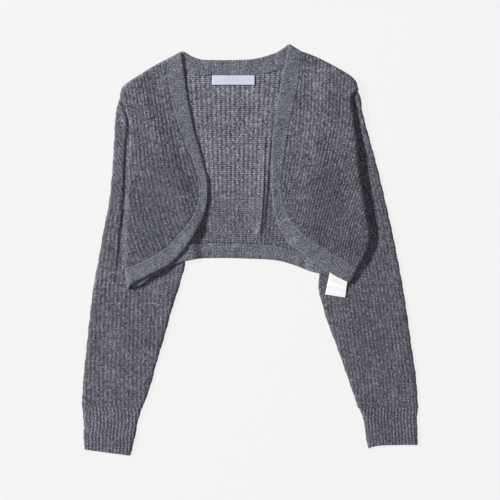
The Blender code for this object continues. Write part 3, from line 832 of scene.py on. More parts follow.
def back_rows():
    """Rows of points from the line of the shoulders and neck down to the hem."""
    top = np.vstack((back_shoulder("right")[::-1], seam_line(NECK_BAND[1:-1]), back_shoulder("left")))
    hem = seam_line(smooth_rows(HEM_BAND, OUTLINE_STEP))
    down = np.linspace(0.0, 1.0, BACK_ROWS)[:, None]
    place = np.linspace(0.0, 1.0, BACK_DENSE)[None, :]
    top_y = np.interp(top[0, 0] + (top[-1, 0] - top[0, 0]) * place, top[:, 0], top[:, 1])
    hem_y = np.interp(hem[0, 0] + (hem[-1, 0] - hem[0, 0]) * place, hem[:, 0], hem[:, 1])
    y = top_y * (1 - down) + hem_y * down
    ends = []
    for side, corner, edge_y in (("right", top[0, 0], y[:, 0]), ("left", top[-1, 0], y[:, -1])):
        line = back_side(side)
        edge_x = np.interp(edge_y, line[:, 1], line[:, 0])
        tip = smooth((edge_y[0] - edge_y) / BACK_TIP_REACH)
        ends.append((corner * (1 - tip) + edge_x * tip)[:, None])
    start, end = ends
    return np.stack((start + (end - start) * place, y), axis=2)


print("rows of the back:", back_rows().shape)

# %% [markdown]
# ## The back panel
#
# Through the opening the inside of the back shows, where the loops are little bars. The ribs widen
# towards the neck, as the photograph shows them. Only the part inside the opening needs a column
# for every part of a stitch, so the columns under the fronts are further apart.

# %% The back panel
BACK_RIB_CENTRE = -23.0
BACK_PITCH = 5.9
BACK_PITCH_GROWTH = 0.0074
BACK_SEAM = 1.8
BACK_FINE = (-17, 19)
HIDDEN_STEP = 0.5
BACK_UNDER_COLUMNS = 42


def back_numbers(x, y):
    rib = (x - BACK_RIB_CENTRE) / (BACK_PITCH + BACK_PITCH_GROWTH * y)
    return rib, -y / COURSE


def back_columns(keys):
    """The ribs that get a column: parts of a rib in the opening, and halves of one beside it."""
    first, last = BACK_FINE
    fine = np.arange(first, last, 1 / COLUMNS_PER_RIB)
    before = np.arange(math.floor(keys.min()), first, HIDDEN_STEP)
    after = np.arange(last, math.ceil(keys.max()), HIDDEN_STEP)
    return np.concatenate((before, fine, after))


def make_back():
    rows = back_rows()
    keys = back_numbers(*xy(rows))[0]
    start, end = np.zeros(BACK_ROWS), np.ones(BACK_ROWS)
    ribs = rib_columns(keys, start, end, back_columns(keys))
    upper = np.hstack((start[:, None], ribs, end[:, None]))
    under = np.tile(np.linspace(1.0, 0.0, BACK_UNDER_COLUMNS), (BACK_ROWS, 1))
    top, low = on_rows(rows, upper), on_rows(rows, under)
    x, y = xy(top)
    look = {"bars": True, "slack": slackness("back", y), "power": WIDE_ARCH}
    relief = RIB_HEIGHT * ribbing(*back_numbers(x, y), **look)
    z = back_base(x, y) + WALL + relief + creased("back", x, y)
    z -= BACK_SEAM * (seam_dip(y - y[-1:]) + seam_dip(y[:1] - y))
    points = closed(both_sides(top, z, low, back_base(*xy(low))))
    x, y = xy(points)
    return cloth("knit_back", points, knit_numbers(*back_numbers(x, y), slackness("back", y)))


back = make_back()

# %% [markdown]
# ## The ribs of a sleeve
#
# A sleeve is a tube, and lying flat it is still one, with a round fold on each side. Its ribs run
# along the outer fold. On the right sleeve they drift inwards on the way down from the shoulder,
# because it is twisted a little where it goes under the front. A cuff is knitted in a tighter rib.

# %% Rib and course numbers of a tube
SLEEVE_PITCH = {"right": 6.7, "left": 5.9}
CUFF_PITCH = {"right": 5.6, "left": 5.2}
SLEEVE_DRIFT = {
    "right": ((-330, -18), (-260, -24), (31, 0), (72, 0), (90, 3), (106, 12), (256, 119)),
    "left": ((-330, 3), (-260, 0), (256, 0)),
}


def tube_numbers(side, pitch, outer, x, y, drifting=True):
    """Rib and course number on a tube, whose ribs run along its outer fold but for their drift."""
    order = np.argsort(outer[:, 1])
    fold_x = np.interp(y, outer[order, 1], outer[order, 0])
    drift = np.array(SLEEVE_DRIFT[side], dtype=float)
    shift = np.interp(y, drift[:, 0], drift[:, 1])
    return (hand(side) * (fold_x - x) + shift * drifting) / pitch, -y / COURSE


print("most drift:", {side: max(shift for _, shift in rows) for side, rows in SLEEVE_DRIFT.items()})

# %% [markdown]
# ## The shape of a flat tube
#
# The two folds of a soft tube wander a little, which a few sine waves give. A cuff's open end turns
# in, so that the cloth has a thickness there, and the left cuff's end is bowed. Each is a small
# change to the rows, made before the columns are laid on them.

# %% Wandering folds, a bowed end and a lip
EDGE_WAVES = ((0.25, 3.9), (0.2, 11.0), (0.3, 29.0))
WAVE_SHIFT = 2.0
END_BOW = {"right": 0.0, "left": 5.0}
BOW_POWER = 0.7
BOW_TURN = 0.4
BOW_REACH = 40.0
LIP = ((-0.5, 0.3), (-0.8, 0.6), (-0.4, 0.85), (0.6, 1.0), (9.0, 1.0))
LIP_GAP = 0.4
LIP_AIMS_AT = 4


def wandering(table):
    """Smooth rows of a tube whose outer and inner fold wander."""
    table = smooth_rows(table)
    for height, wave in EDGE_WAVES:
        table[:, 0] += height * np.sin(table[:, 1] / wave * 2 * np.pi)
        table[:, 2] += height * np.sin(table[:, 3] / wave * 2 * np.pi + WAVE_SHIFT)
    return table


def end_bow(side, from_end):
    """How far a cuff's rows bow up at each point, most at its open end."""
    across = np.linspace(0.0, 1.0, DENSE)
    bow = END_BOW[side] * across**BOW_POWER * fold((1 - across) / BOW_TURN)
    return bow * (1 - smooth(from_end / BOW_REACH))


def lip_rows(points, length, middle):
    """Rows that round a tube's open end and turn in, from its last row."""
    last = points[-1]
    inward = points[-LIP_AIMS_AT] - last
    inward /= np.linalg.norm(inward[:, :2], axis=1)[:, None]
    centre = last[:, :2].mean(axis=0)
    inner_z = middle + np.where(last[:, 2] > middle, LIP_GAP, -LIP_GAP)
    rows = []
    for shift, part in LIP:
        row = last.copy()
        row[:, :2] = centre + (last[:, :2] - centre) * (1 - 2 * WALL * part / length)
        row[:, :2] += inward[:, :2] * shift
        row[:, 2] = last[:, 2] * (1 - part) + inner_z * part
        rows.append(row)
    return np.array(rows)


print("smooth rows of the right sleeve:", wandering(SLEEVE["right"]).shape)

# %% [markdown]
# ## Sleeves and cuffs
#
# The upper half of a tube carries the ribs, and the lower half rests on the table and stays plain.
# Both halves are one grid that goes round. The sleeve's last rows come down a little, because a
# seam draws it in to the cuff.

# %% A flat tube
FOLD_REACH = 6.5
TUBE_RIM = (0.0, 0.3, 0.9, 1.8, 3.0)
TUBE_UNDER = (0.0, 0.7, 1.8, 3.2)
TUBE_LOWER_COLUMNS = 12
CLOSE_REACH = 9.0


def tube_places(keys, length):
    """Places from 0 to 1 across each row for the columns of the upper and of the lower half."""
    rim = np.outer(1 / length, TUBE_RIM)
    ribs = rib_columns(keys, rim[:, -1], 1 - rim[:, -1])
    below = np.outer(1 / length, TUBE_UNDER)
    spread = np.linspace(1.0, 0.0, TUBE_LOWER_COLUMNS)[None, 1:-1]
    level = below[:, -1:] + (1 - 2 * below[:, -1:]) * spread
    upper = np.hstack((rim, ribs, 1 - rim[:, ::-1]))
    return upper, np.hstack((1 - below[:, 1:], level, below[:, :0:-1]))


def make_tube(name, side, table, pitch, lip, close_in):
    """A flattened tube. Its last rows come down by the close_in part, and a lip turns in there."""
    table = wandering(table)
    rows = straight_rows(table[:, :2], table[:, 2:], DENSE)
    from_end = np.linalg.norm(table[:, :2] - table[-1, :2], axis=1)[:, None]
    if lip:
        rows[:, :, 1] += end_bow(side, from_end)
    length = np.linalg.norm(table[:, 2:] - table[:, :2], axis=1)
    keys = tube_numbers(side, pitch, table[:, :2], *xy(rows), False)[0]
    upper, under = tube_places(keys, length)
    top, low = on_rows(rows, upper), on_rows(rows, under)
    middle = SLEEVE_HEIGHT / 2
    depth = np.minimum(upper, 1 - upper) * length[:, None]
    depth_low = np.minimum(under, 1 - under) * length[:, None]
    relief = RIB_HEIGHT * ribbing(*tube_numbers(side, pitch, table[:, :2], *xy(top)))
    relief = (relief + creased(name.removeprefix("knit_"), *xy(top))) * smooth(depth / FOLD_REACH)
    full = 1 - close_in * (1 - smooth(from_end / CLOSE_REACH))
    z = middle + (middle * fold(depth / FOLD_REACH) + relief) * full
    z_low = middle - middle * fold(depth_low / TUBE_UNDER[-1])
    points = both_sides(top, z, low, z_low)
    if lip:
        points = np.vstack((points, lip_rows(points, length[-1], middle)))
    points = closed(points)
    knit = knit_numbers(*tube_numbers(side, pitch, table[:, :2], *xy(points)))
    return cloth(name, points, knit, open_ends=True)


over_and_under = tube_places(np.linspace(0.0, 15.0, DENSE)[None, :], np.array([100.0]))
print("columns over and under a tube of 15 ribs:", [part.shape[1] for part in over_and_under])

# %% The sleeves and the cuffs
CUFF_STEP_IN = 0.6
CUFF_STEP_UP = 2.0
SLEEVE_CLOSES_IN = 0.3


def cuff_rows(side):
    """Rows of a cuff, whose first is the sleeve's last, a little narrower."""
    outer_x, outer_y, inner_x, inner_y = SLEEVE[side][-1]
    step = CUFF_STEP_IN * hand(side)
    first = (outer_x - step, outer_y + CUFF_STEP_UP, inner_x + step, inner_y + CUFF_STEP_UP)
    return [first] + list(CUFF[side])


sleeves, cuffs = {}, {}
for side, table in SLEEVE.items():
    sleeves[side] = make_tube(
        f"knit_sleeve_{side}", side, table, SLEEVE_PITCH[side], lip=False, close_in=SLEEVE_CLOSES_IN
    )
for side in CUFF:
    cuffs[side] = make_tube(
        f"knit_cuff_{side}", side, cuff_rows(side), CUFF_PITCH[side], lip=True, close_in=0.0
    )

# %% [markdown]
# ## The bands
#
# A plain band finishes the opening, the neck and the hem. It is a double strip, so it is a little
# thicker than the ribbing and its free edge is a round fold. Its fine ribs run across it, and beside
# the seam it has a low welt, where the linking bunches the wool up.

# %% Bands along an edge
BAND_COLUMNS = 24
BAND_UNDER = (0.97, 0.5, 0.03)
BAND_RELIEF = 0.25
BAND_PITCH = 4.4
BAND_LUCK = 0.75
BAND_GRAIN = (0.48, 0.2)
BAND_START = (0.0, 9.0)
EDGE_ROUND = 4.5
EDGE_PART = 0.25
SEAM_ROUND = 2.5
SEAM_PART, SEAM_RISE = 0.78, 0.22
WELT, WELT_PLACE, WELT_WIDTH = 0.14, 1.9, 1.2


def band_part(place, width):
    """Height of a band's section as a part of its wall, from the seam to its round free edge."""
    free, seam = (1 - place) * width, place * width
    welt = WELT * np.exp(-(((seam - WELT_PLACE) / WELT_WIDTH) ** 2))
    at_edge = EDGE_PART + (1 - EDGE_PART) * fold(free / EDGE_ROUND)
    return at_edge * (SEAM_PART + SEAM_RISE * fold(seam / SEAM_ROUND)) + welt


def make_band(name, table, top_of, under_of):
    """A band through rows of seam and free edge."""
    away = table[:, 2:] - table[:, :2]
    width = np.linalg.norm(away, axis=1)
    start = table[:, :2] + SEAM_GAP * away / width[:, None]
    rows = straight_rows(start, table[:, 2:], 2)
    upper = np.tile(1 - np.cos(np.linspace(0.0, np.pi, BAND_COLUMNS)), (len(table), 1)) / 2
    under = np.tile(BAND_UNDER, (len(table), 1))
    top, low = on_rows(rows, upper), on_rows(rows, under)
    middle = (table[:, :2] + table[:, 2:]) / 2
    along = np.concatenate(([0.0], np.cumsum(np.linalg.norm(np.diff(middle, axis=0), axis=1))))
    places = np.hstack((upper, under, upper[:, :1]))
    rib = along[:, None] / BAND_PITCH + 0 * places
    course = places * width[:, None] / COURSE
    above = rib[:, :BAND_COLUMNS], course[:, :BAND_COLUMNS]
    relief = BAND_RELIEF * ribbing(*above, bars=True)
    relief += BAND_LUCK * uneven(*above, BAND_GRAIN, BAND_START)
    part = band_part(upper, width[:, None])
    z = top_of(*xy(top), part) + relief * smooth(part)
    points = closed(both_sides(top, z, low, under_of(*xy(low))))
    return cloth(name, points, knit_numbers(rib, course))


print("a band's section:", band_part(np.linspace(0.0, 1.0, 5), 26.0).round(2))


# %% The bands of the fronts, the neck and the hem
def make_front_band(side):
    def top_of(x, y, part):
        whole = front_top(side, x, y, BAND_WALL)
        return whole - (1 - part) * np.minimum(BAND_WALL, whole - front_under(side, x, y))

    def under_of(x, y):
        return front_under(side, x, y)

    table = smooth_rows(FRONT[side], ROW_STEP, FIRST_ROWS)[:, 2:]
    keep = np.concatenate(([True], np.linalg.norm(np.diff(table, axis=0), axis=1) > 0))
    return make_band(f"knit_band_{side}", table[keep], top_of, under_of)


def make_back_band(name, rows):
    def top_of(x, y, part):
        return back_base(x, y) + BAND_WALL * part

    return make_band(name, smooth_rows(rows), top_of, back_base)


front_bands = {side: make_front_band(side) for side in FRONT}
neck_band = make_back_band("knit_neck_band", NECK_BAND)
hem_band = make_back_band("knit_hem_band", HEM_BAND)

# %% [markdown]
# ## The labels
#
# Both labels are blank strips of pale woven tape. The one at the neck lies on the ribs of the back
# and is sewn on along its upper edge. The one in the side seam comes out below the front's hem and
# lies on the sleeve. A fine grid with a Solidify modifier is enough for tape.

# %% Labels
LABEL_WALL = 0.6
NECK_LABEL = ((-60.5, 279.0), (7.5, 279.0), (7.5, 263.8), (-60.5, 263.8))
LABEL_ABOVE_RIBS = 0.35
NECK_LABEL_Z = WALL + RIB_HEIGHT + LABEL_ABOVE_RIBS
NECK_LABEL_GRID = (70, 16)
NECK_LABEL_WAVE = (0.15, 9.0)
NECK_LABEL_CURL = (0.5, 0.6)
CARE_LABEL = ((128.5, -30.0), (156.0, -46.0), (152.0, -76.0), (120.0, -71.0))
CARE_LABEL_Z = ((0.0, 9.3), (0.28, 9.3), (0.45, 6.8), (1.0, 6.6))
CARE_LABEL_GRID = (34, 46)
CARE_LABEL_WAVE = (0.25, 19.0, 15.0)


def make_label(name, corners, grid, z_of):
    """A strip of tape between four corners, from its sewn edge down."""
    corners = np.array(corners)
    columns, rows = grid
    down = np.linspace(0.0, 1.0, rows)[:, None, None]
    across = np.linspace(0.0, 1.0, columns)[None, :, None]
    upper = corners[0] * (1 - across) + corners[1] * across
    lower = corners[3] * (1 - across) + corners[2] * across
    points = upper * (1 - down) + lower * down
    x, y = xy(points)
    z = z_of(x, np.broadcast_to(down[:, :, 0], (rows, columns)))
    label = cloth(name, with_height(points, z), knit_numbers(x, y), open_ends=True)
    wall = label.modifiers.new("tape", "SOLIDIFY")
    wall.thickness = LABEL_WALL * MM
    wall.offset = 1.0
    return label


def neck_label_z(x, down):
    """Height of the neck label, which waves a little and curls up along its lower edge."""
    wave, wave_length = NECK_LABEL_WAVE
    curl, curl_from = NECK_LABEL_CURL
    return NECK_LABEL_Z + wave * np.sin(x / wave_length) + curl * smooth(down - curl_from)


def care_label_z(x, down):
    """Height of the care label, which steps down from the hem band to the sleeve."""
    table = np.array(CARE_LABEL_Z)
    wave, down_waves, wave_length = CARE_LABEL_WAVE
    step = np.interp(down, table[:, 0], table[:, 1])
    return step + wave * np.sin(down * down_waves + x / wave_length)


neck_label = make_label("tape_neck_label", NECK_LABEL, NECK_LABEL_GRID, neck_label_z)
care_label = make_label("tape_care_label", CARE_LABEL, CARE_LABEL_GRID, care_label_z)

# %% [markdown]
# ## Shader building blocks
#
# Small helpers keep the node trees readable: they start a material, add a node, set its sockets or
# link them, and do a sum. A node group is a reusable effect with named sockets.

# %% Helpers for nodes and sockets
def new_material(name):
    """A material with its node tree and its shader."""
    made = bpy.data.materials.new(name)
    made.use_nodes = True
    return made, made.node_tree, made.node_tree.nodes["Principled BSDF"]


def add(tree, kind, **settings):
    node = tree.nodes.new("ShaderNode" + kind)
    for setting, value in settings.items():
        setattr(node, setting, value)
    return node


def set_sockets(node, values):
    for label, value in values.items():
        node.inputs[label].default_value = value


def feed(tree, value, socket):
    """Links a socket to another one, or gives it a plain value."""
    if isinstance(value, bpy.types.NodeSocket):
        tree.links.new(value, socket)
    else:
        socket.default_value = value


def new_group(name, inputs, outputs):
    """An empty node group with named sockets, and its inner ends."""
    tree = bpy.data.node_groups.new(name, "ShaderNodeTree")
    for label, kind, value in inputs:
        socket = tree.interface.new_socket(label, in_out="INPUT", socket_type="NodeSocket" + kind)
        if value is not None:
            socket.default_value = value
    for label, kind in outputs:
        tree.interface.new_socket(label, in_out="OUTPUT", socket_type="NodeSocket" + kind)
    return tree, tree.nodes.new("NodeGroupInput").outputs, tree.nodes.new("NodeGroupOutput").inputs


def use_group(tree, group, **values):
    node = add(tree, "Group", node_tree=group)
    for label, value in values.items():
        feed(tree, value, node.inputs[label.capitalize()])
    return node.outputs


print("node groups before the first:", len(bpy.data.node_groups))


# %% Helpers for sums, colours, noise and bumps
def calc(tree, operation, *values):
    node = add(tree, "Math", operation=operation)
    for value, socket in zip(values, node.inputs):
        feed(tree, value, socket)
    return node.outputs[0]


def remap(tree, value, low, high, to_low=0.0, to_high=1.0):
    node = add(tree, "MapRange")
    for number, item in enumerate((value, low, high, to_low, to_high)):
        feed(tree, item, node.inputs[number])
    return node.outputs[0]


def blend_colour(tree, part, first, second, way="MIX"):
    """A blend of two colours, which a Mix node takes at sockets 6 and 7 and gives at output 2."""
    node = add(tree, "Mix", data_type="RGBA", blend_type=way)
    for number, item in ((0, part), (6, first), (7, second)):
        feed(tree, item, node.inputs[number])
    return node.outputs[2]


def toned(tree, colour, tone):
    """A colour made darker or lighter by a number."""
    grey = add(tree, "CombineXYZ")
    for socket in grey.inputs:
        feed(tree, tone, socket)
    return blend_colour(tree, 1.0, colour, grey.outputs[0], "MULTIPLY")


def noise(tree, place, scale, detail=3.0, roughness=0.6):
    node = add(tree, "TexNoise")
    feed(tree, place, node.inputs["Vector"])
    set_sockets(node, {"Scale": scale, "Detail": detail, "Roughness": roughness})
    return node.outputs["Fac"]


def bumps(tree, height, strength, distance, shader):
    """Turns a height from 0 to 1, worth a distance in millimetres, into a shader's normal."""
    relief = add(tree, "Bump")
    set_sockets(relief, {"Strength": strength, "Distance": distance * MM})
    feed(tree, height, relief.inputs["Height"])
    feed(tree, relief.outputs[0], shader.inputs["Normal"])


print("helpers:", [helper.__name__ for helper in (calc, remap, blend_colour, toned, noise, bumps)])

# %% [markdown]
# ## Stitches in the shader
#
# The mesh carries the ribs, but a stitch is only two or three rows of it. The group below draws the
# same ribs and stitches from the same "knit" numbers at any sharpness, for the painted shade in the
# colour and for the bumps. First come the ribs: a number that goes up by one from rib to rib,
# wandering a little, whose fraction is the place across a rib.

# %% The stitch group and its ribs
SOFT_NOISE = (1.0, 0.5)
WANDER_SCALE, WANDER_RANGE = 0.9, (0.3, 0.7, -1.0, 1.0)
FILL_SCALES, FILL_RANGE = (0.9, 0.28, 1.0), (0.5, 0.68, 0.0, 0.4)
stitch_group, given, result = new_group(
    "Stitches",
    [
        ("Knit", "Vector", None),
        ("Bars", "Float", 0.0),
        ("Depth", "Float", 0.4),
        ("Luck", "Float", 0.3),
        ("Wander", "Float", RIB_WANDER),
        ("Power", "Float", ARCH_POWER),
    ],
    [("Height", "Float"), ("Tone", "Float"), ("Slack", "Float")],
)
stitch_sum = partial(calc, stitch_group)
numbers = add(stitch_group, "SeparateXYZ")
feed(stitch_group, given["Knit"], numbers.inputs[0])
rib, course, slack = numbers.outputs
unevenness = noise(stitch_group, given["Knit"], WANDER_SCALE, *SOFT_NOISE)
wander = remap(stitch_group, unevenness, *WANDER_RANGE)
wandered = stitch_sum("MULTIPLY_ADD", wander, given["Wander"], rib)
across = stitch_sum("FRACT", wandered)
half_turn = stitch_sum("SINE", stitch_sum("MULTIPLY", across, math.pi))
long_way = add(stitch_group, "VectorMath", operation="MULTIPLY")
feed(stitch_group, given["Knit"], long_way.inputs[0])
long_way.inputs[1].default_value = FILL_SCALES
fill_noise = noise(stitch_group, long_way.outputs[0], 1.0, *SOFT_NOISE)
filled = remap(stitch_group, fill_noise, *FILL_RANGE)
arch = stitch_sum("MAXIMUM", stitch_sum("POWER", half_turn, given["Power"]), filled)
arch = stitch_sum("MAXIMUM", arch, slack)
print("nodes for the ribs:", len(stitch_group.nodes))

# %% [markdown]
# Then the stitches: a wave along each rib whose two legs lean together into a V, or a bar on the
# inside of the fabric. Last comes luck: every leg of every stitch is a little darker or lighter than
# its neighbours, because the fibres never lie the same way twice.

# %% The stitch group's loops and their luck
from_middle = stitch_sum("ABSOLUTE", stitch_sum("MULTIPLY_ADD", across, 2.0, -1.0))
leg_lean = stitch_sum("MULTIPLY_ADD", given["Bars"], -LEG_LEAN, LEG_LEAN)
leaning = stitch_sum("ADD", course, stitch_sum("MULTIPLY", from_middle, leg_lean))
phase = stitch_sum("MULTIPLY", leaning, 2 * math.pi)
hollow = stitch_sum("MULTIPLY_ADD", stitch_sum("COSINE", phase), -0.5, 0.5)
flatter = stitch_sum("MULTIPLY_ADD", slack, -SLACK_FLATTENS, 1.0)
depth = stitch_sum("MULTIPLY", given["Depth"], flatter)
loops = stitch_sum("SUBTRACT", 1.0, stitch_sum("MULTIPLY", hollow, depth))
leg = add(stitch_group, "CombineXYZ")
feed(stitch_group, stitch_sum("FLOOR", stitch_sum("MULTIPLY", wandered, 2.0)), leg.inputs[0])
feed(stitch_group, stitch_sum("FLOOR", stitch_sum("ADD", leaning, 0.5)), leg.inputs[1])
chance = add(stitch_group, "TexWhiteNoise", noise_dimensions="3D")
feed(stitch_group, leg.outputs[0], chance.inputs["Vector"])
off_centre = stitch_sum("SUBTRACT", chance.outputs["Value"], 0.5)
swing = stitch_sum("MULTIPLY", off_centre, given["Luck"])
feed(stitch_group, stitch_sum("MULTIPLY", arch, loops), result["Height"])
feed(stitch_group, stitch_sum("ADD", swing, 1.0), result["Tone"])
feed(stitch_group, slack, result["Slack"])
print("stitch group nodes:", len(stitch_group.nodes))

# %% [markdown]
# ## Melange wool
#
# Charcoal melange is black and pale fibres carded together before spinning, so up close it is
# flecked and from afar it is an even grey that wanders a little. Three noises do that: fibres, the
# odd pale fleck, and a slow cloud from one ball of yarn to the next.

# %% The melange group
FIBRE_SCALE, FIBRE_NOISE, FIBRE_RANGE = 600.0, (4.0, 0.8), (0.4, 0.6)
FLECK_SCALE, FLECK_RANGE = 380.0, (0.6, 0.72, 0.0, 0.7)
CLOUD_SCALE, CLOUD_RANGE = 24.0, (0.3, 0.7, 0.9, 1.1)
melange_group, given, result = new_group(
    "Melange",
    [
        ("Place", "Vector", None),
        ("Dark", "Color", (0.03, 0.03, 0.04, 1.0)),
        ("Light", "Color", (0.3, 0.3, 0.35, 1.0)),
        ("Shade", "Float", 1.0),
    ],
    [("Colour", "Color"), ("Fuzz", "Float")],
)
fibres = noise(melange_group, given["Place"], FIBRE_SCALE, *FIBRE_NOISE)
fleck = noise(melange_group, given["Place"], FLECK_SCALE, *SOFT_NOISE)
cloud = noise(melange_group, given["Place"], CLOUD_SCALE)
pale_fibres = remap(melange_group, fibres, *FIBRE_RANGE)
pale = calc(melange_group, "ADD", pale_fibres, remap(melange_group, fleck, *FLECK_RANGE))
mixed = blend_colour(melange_group, pale, given["Dark"], given["Light"])
tone = calc(melange_group, "MULTIPLY", given["Shade"], remap(melange_group, cloud, *CLOUD_RANGE))
feed(melange_group, toned(melange_group, mixed, tone), result["Colour"])
feed(melange_group, fibres, result["Fuzz"])
print("melange group nodes:", len(melange_group.nodes))

# %% [markdown]
# ## The wool of each piece
#
# One yarn makes the whole garment, but it looks different in each piece. The fronts and sleeves show
# clear dark valleys between their ribs, the inside of the back shows paler bars, and the plain bands
# are almost even. So one function makes them all from the two groups, with a few numbers for each.
# The sunken columns get painted shade, because little light gets down there, and the crests get painted
# light. The shade fades out in patches.

# %% Wool materials
SLACK_TONE = 0.43
PATCH_SCALE, PATCH_NOISE, PATCH_RANGE = 38.0, (2.0, 0.5), (0.4, 0.6)
CREST, CREST_PAINTED_LIGHT = 0.9, 1.15
FUZZ = 0.6
WOOL_BUMP = 0.6
DARK_WOOL = (0.014, 0.014, 0.02, 1.0)


def wool(name, light, bars, depth, luck, valley_shade, patch, bump, wander=RIB_WANDER, power=ARCH_POWER):
    """Melange wool in a ribbing, with painted shade in its sunken columns that fades out in patches."""
    made, tree, shader = new_material(name)
    knit = add(tree, "Attribute", attribute_name="knit").outputs["Vector"]
    place = add(tree, "TexCoord").outputs["Object"]
    yarn = {"bars": bars, "depth": depth, "luck": luck, "wander": wander, "power": power}
    stitches = use_group(tree, stitch_group, knit=knit, **yarn)
    less_shade_in_patches = remap(tree, noise(tree, place, PATCH_SCALE, *PATCH_NOISE), *PATCH_RANGE, 0.0, patch)
    patchy_valley_shade = calc(tree, "ADD", less_shade_in_patches, valley_shade)
    # Painted shade in the sunken columns and the stitches' hollows, and painted light on the crests.
    shade = remap(tree, stitches["Height"], 0.0, CREST, patchy_valley_shade, CREST_PAINTED_LIGHT)
    shade = calc(tree, "MULTIPLY", shade, stitches["Tone"])
    shade = calc(tree, "MULTIPLY", shade, remap(tree, stitches["Slack"], 0.0, 1.0, 1.0, SLACK_TONE))
    melange = use_group(tree, melange_group, place=place, dark=DARK_WOOL, light=light, shade=shade)
    raised = calc(tree, "MULTIPLY_ADD", melange["Fuzz"], FUZZ, stitches["Height"])
    bumps(tree, raised, bump, WOOL_BUMP, shader)
    feed(tree, melange["Colour"], shader.inputs["Base Color"])
    set_sockets(shader, {"Roughness": 0.95, "Specular IOR Level": 0.15})
    set_sockets(shader, {"Sheen Weight": 0.1, "Sheen Roughness": 0.6})
    return made


rib_wool = wool(
    "ribbed_wool", light=(0.218, 0.22, 0.266, 1.0),
    bars=0.0, depth=0.5, luck=0.75, valley_shade=0.4, patch=0.35, bump=0.9,
)
cuff_wool = wool(
    "cuff_wool", light=(0.268, 0.271, 0.327, 1.0),
    bars=0.0, depth=0.35, luck=0.4, valley_shade=0.15, patch=0.2, bump=0.9, power=WIDE_ARCH,
)
front_wool = wool(
    "front_wool", light=(0.258, 0.261, 0.316, 1.0),
    bars=0.0, depth=0.6, luck=0.85, valley_shade=0.25, patch=0.4, bump=1.0,
    wander=FRONT_WANDER, power=FRONT_ARCH,
)
inside_wool = wool(
    "inside_wool", light=(0.42, 0.422, 0.497, 1.0),
    bars=1.0, depth=0.78, luck=0.5, valley_shade=0.2, patch=0.25, bump=0.9, power=WIDE_ARCH,
)
band_wool = wool(
    "band_wool", light=(0.23, 0.236, 0.284, 1.0),
    bars=1.0, depth=0.3, luck=0.35, valley_shade=0.75, patch=0.2, bump=0.6,
)
wools = (rib_wool, cuff_wool, front_wool, inside_wool, band_wool)
print("wool materials:", [made.name for made in wools])

# %% [markdown]
# ## Label tape
#
# Woven tape is smooth and pale, with threads far finer than the wool. Two crossed waves give the
# threads, and between them the tape is a little lower, with painted shade there.

# %% Tape materials
THREAD_SCALE = 250.0
TAPE_CLOUD_SCALE, TAPE_CLOUD_RANGE = 60.0, (0.3, 0.7, 0.94, 1.0)
THREAD_GAP_SHADE = 0.95
THREAD_BUMP, THREAD_HEIGHT = 0.3, 0.1


def tape(name, colour):
    made, tree, shader = new_material(name)
    place = add(tree, "TexCoord").outputs["Object"]
    threads = []
    for direction in ("X", "Y"):
        wave = add(tree, "TexWave", bands_direction=direction)
        feed(tree, place, wave.inputs["Vector"])
        set_sockets(wave, {"Scale": THREAD_SCALE})
        threads.append(wave.outputs["Fac"])
    weave = calc(tree, "MAXIMUM", *threads)
    soft = remap(tree, noise(tree, place, TAPE_CLOUD_SCALE), *TAPE_CLOUD_RANGE)
    # Painted shade between the threads, times a slow cloud of tone.
    tone = calc(tree, "MULTIPLY", soft, remap(tree, weave, 0.0, 1.0, THREAD_GAP_SHADE, 1.0))
    bumps(tree, weave, THREAD_BUMP, THREAD_HEIGHT, shader)
    feed(tree, toned(tree, colour, tone), shader.inputs["Base Color"])
    set_sockets(shader, {"Roughness": 0.55, "Sheen Weight": 0.1})
    return made


neck_tape = tape("neck_label_tape", colour=(0.62, 0.625, 0.765, 1.0))
care_tape = tape("care_label_tape", colour=(0.99, 0.993, 1.0, 1.0))
print("tape materials:", neck_tape.name, care_tape.name)

# %% [markdown]
# ## Dress the pieces
#
# Every piece stands for its node of the imported model, rides on the one body there is, and gets its
# material.

# %% Materials and bodies
def dress(piece, material, node):
    piece.data.materials.append(material)
    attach(piece, "root")
    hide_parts(node)


for side in ("right", "left"):
    sleeve, cuff, front, front_band = sleeves[side], cuffs[side], fronts[side], front_bands[side]
    dress(sleeve, rib_wool, f"sleeve_{side}")
    dress(cuff, cuff_wool, f"cuff_{side}")
    dress(front, front_wool, f"front_{side}")
    dress(front_band, band_wool, f"front_band_{side}")
dress(back, inside_wool, "back")
dress(neck_band, band_wool, "neck_band")
dress(hem_band, band_wool, "hem_band_back")
dress(neck_label, neck_tape, "neck_label")
dress(care_label, care_tape, "care_label")

# %% [markdown]
# ## The table
#
# The picture is a cut-out on white, so the table is a plain pale sheet of paper. It glows, which
# keeps the shadows on it faint, as they are in the picture.

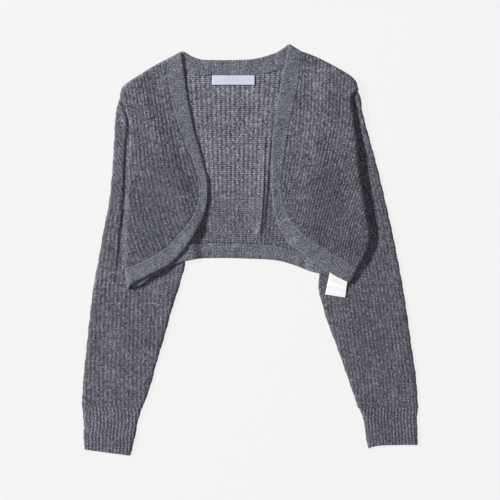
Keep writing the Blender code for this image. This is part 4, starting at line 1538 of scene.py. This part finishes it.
# %% Floor
FLOOR_Z = -0.5
FLOOR_HALF = 3.0
GLOW = 0.838
floor_mesh = grid_mesh("floor", 1, 1, FLOOR_HALF, FLOOR_Z * MM)
floor = add_object("floor", floor_mesh, bpy.context.scene.collection)
paper, _, paper_shader = new_material("pale_paper")
set_sockets(paper_shader, {"Base Color": (0.06, 0.06, 0.06, 1.0), "Roughness": 0.9})
set_sockets(paper_shader, {"Specular IOR Level": 0.1})
set_sockets(paper_shader, {"Emission Color": (1.0, 1.0, 1.0, 1.0), "Emission Strength": GLOW})
floor_mesh.materials.append(paper)
print("floor:", floor.name)

# %% [markdown]
# ## The light
#
# Ribs only show when light rakes over them, so the soft lamp stands low on the picture's upper left.
# A faint even sky fills the valleys.

# %% Light
KEY_PLACE = (-3.95, 1.55, 2.6)
KEY_POWER = 355.0
KEY_SIZE = 0.65
SKY_STRENGTH = 0.3
key_light = bpy.data.lights.new("key", "AREA")
key_light.energy = KEY_POWER
key_light.size = KEY_SIZE
key = add_object("key", key_light, bpy.context.scene.collection)
key.location = KEY_PLACE
to_garment = -key.location
key.rotation_euler = to_garment.to_track_quat("-Z", "Y").to_euler()

sky = bpy.data.worlds.new("studio")
sky.use_nodes = True
background = sky.node_tree.nodes["Background"]
set_sockets(background, {"Color": (1.0, 1.0, 1.02, 1.0), "Strength": SKY_STRENGTH})
bpy.context.scene.world = sky
bpy.context.scene.view_settings.view_transform = "Standard"
print("key light at", tuple(key.location))

# %% [markdown]
# ## The camera
#
# The photograph was taken from straight above. A camera high up with a long lens shows the garment
# with little perspective. Its picture is square and shows 80 centimetres of the table.

# %% Camera, straight above
CAMERA_HEIGHT = 2.4
VIEW_WIDTH = 0.8
SENSOR = 36.0
camera_data = bpy.data.cameras.new("camera")
camera_data.sensor_width = SENSOR
camera_data.lens = SENSOR * CAMERA_HEIGHT / VIEW_WIDTH
camera = add_object("camera", camera_data, bpy.context.scene.collection)
camera.location = (0.0, 0.0, CAMERA_HEIGHT)
bpy.context.scene.camera = camera
print("lens:", round(camera_data.lens, 1))
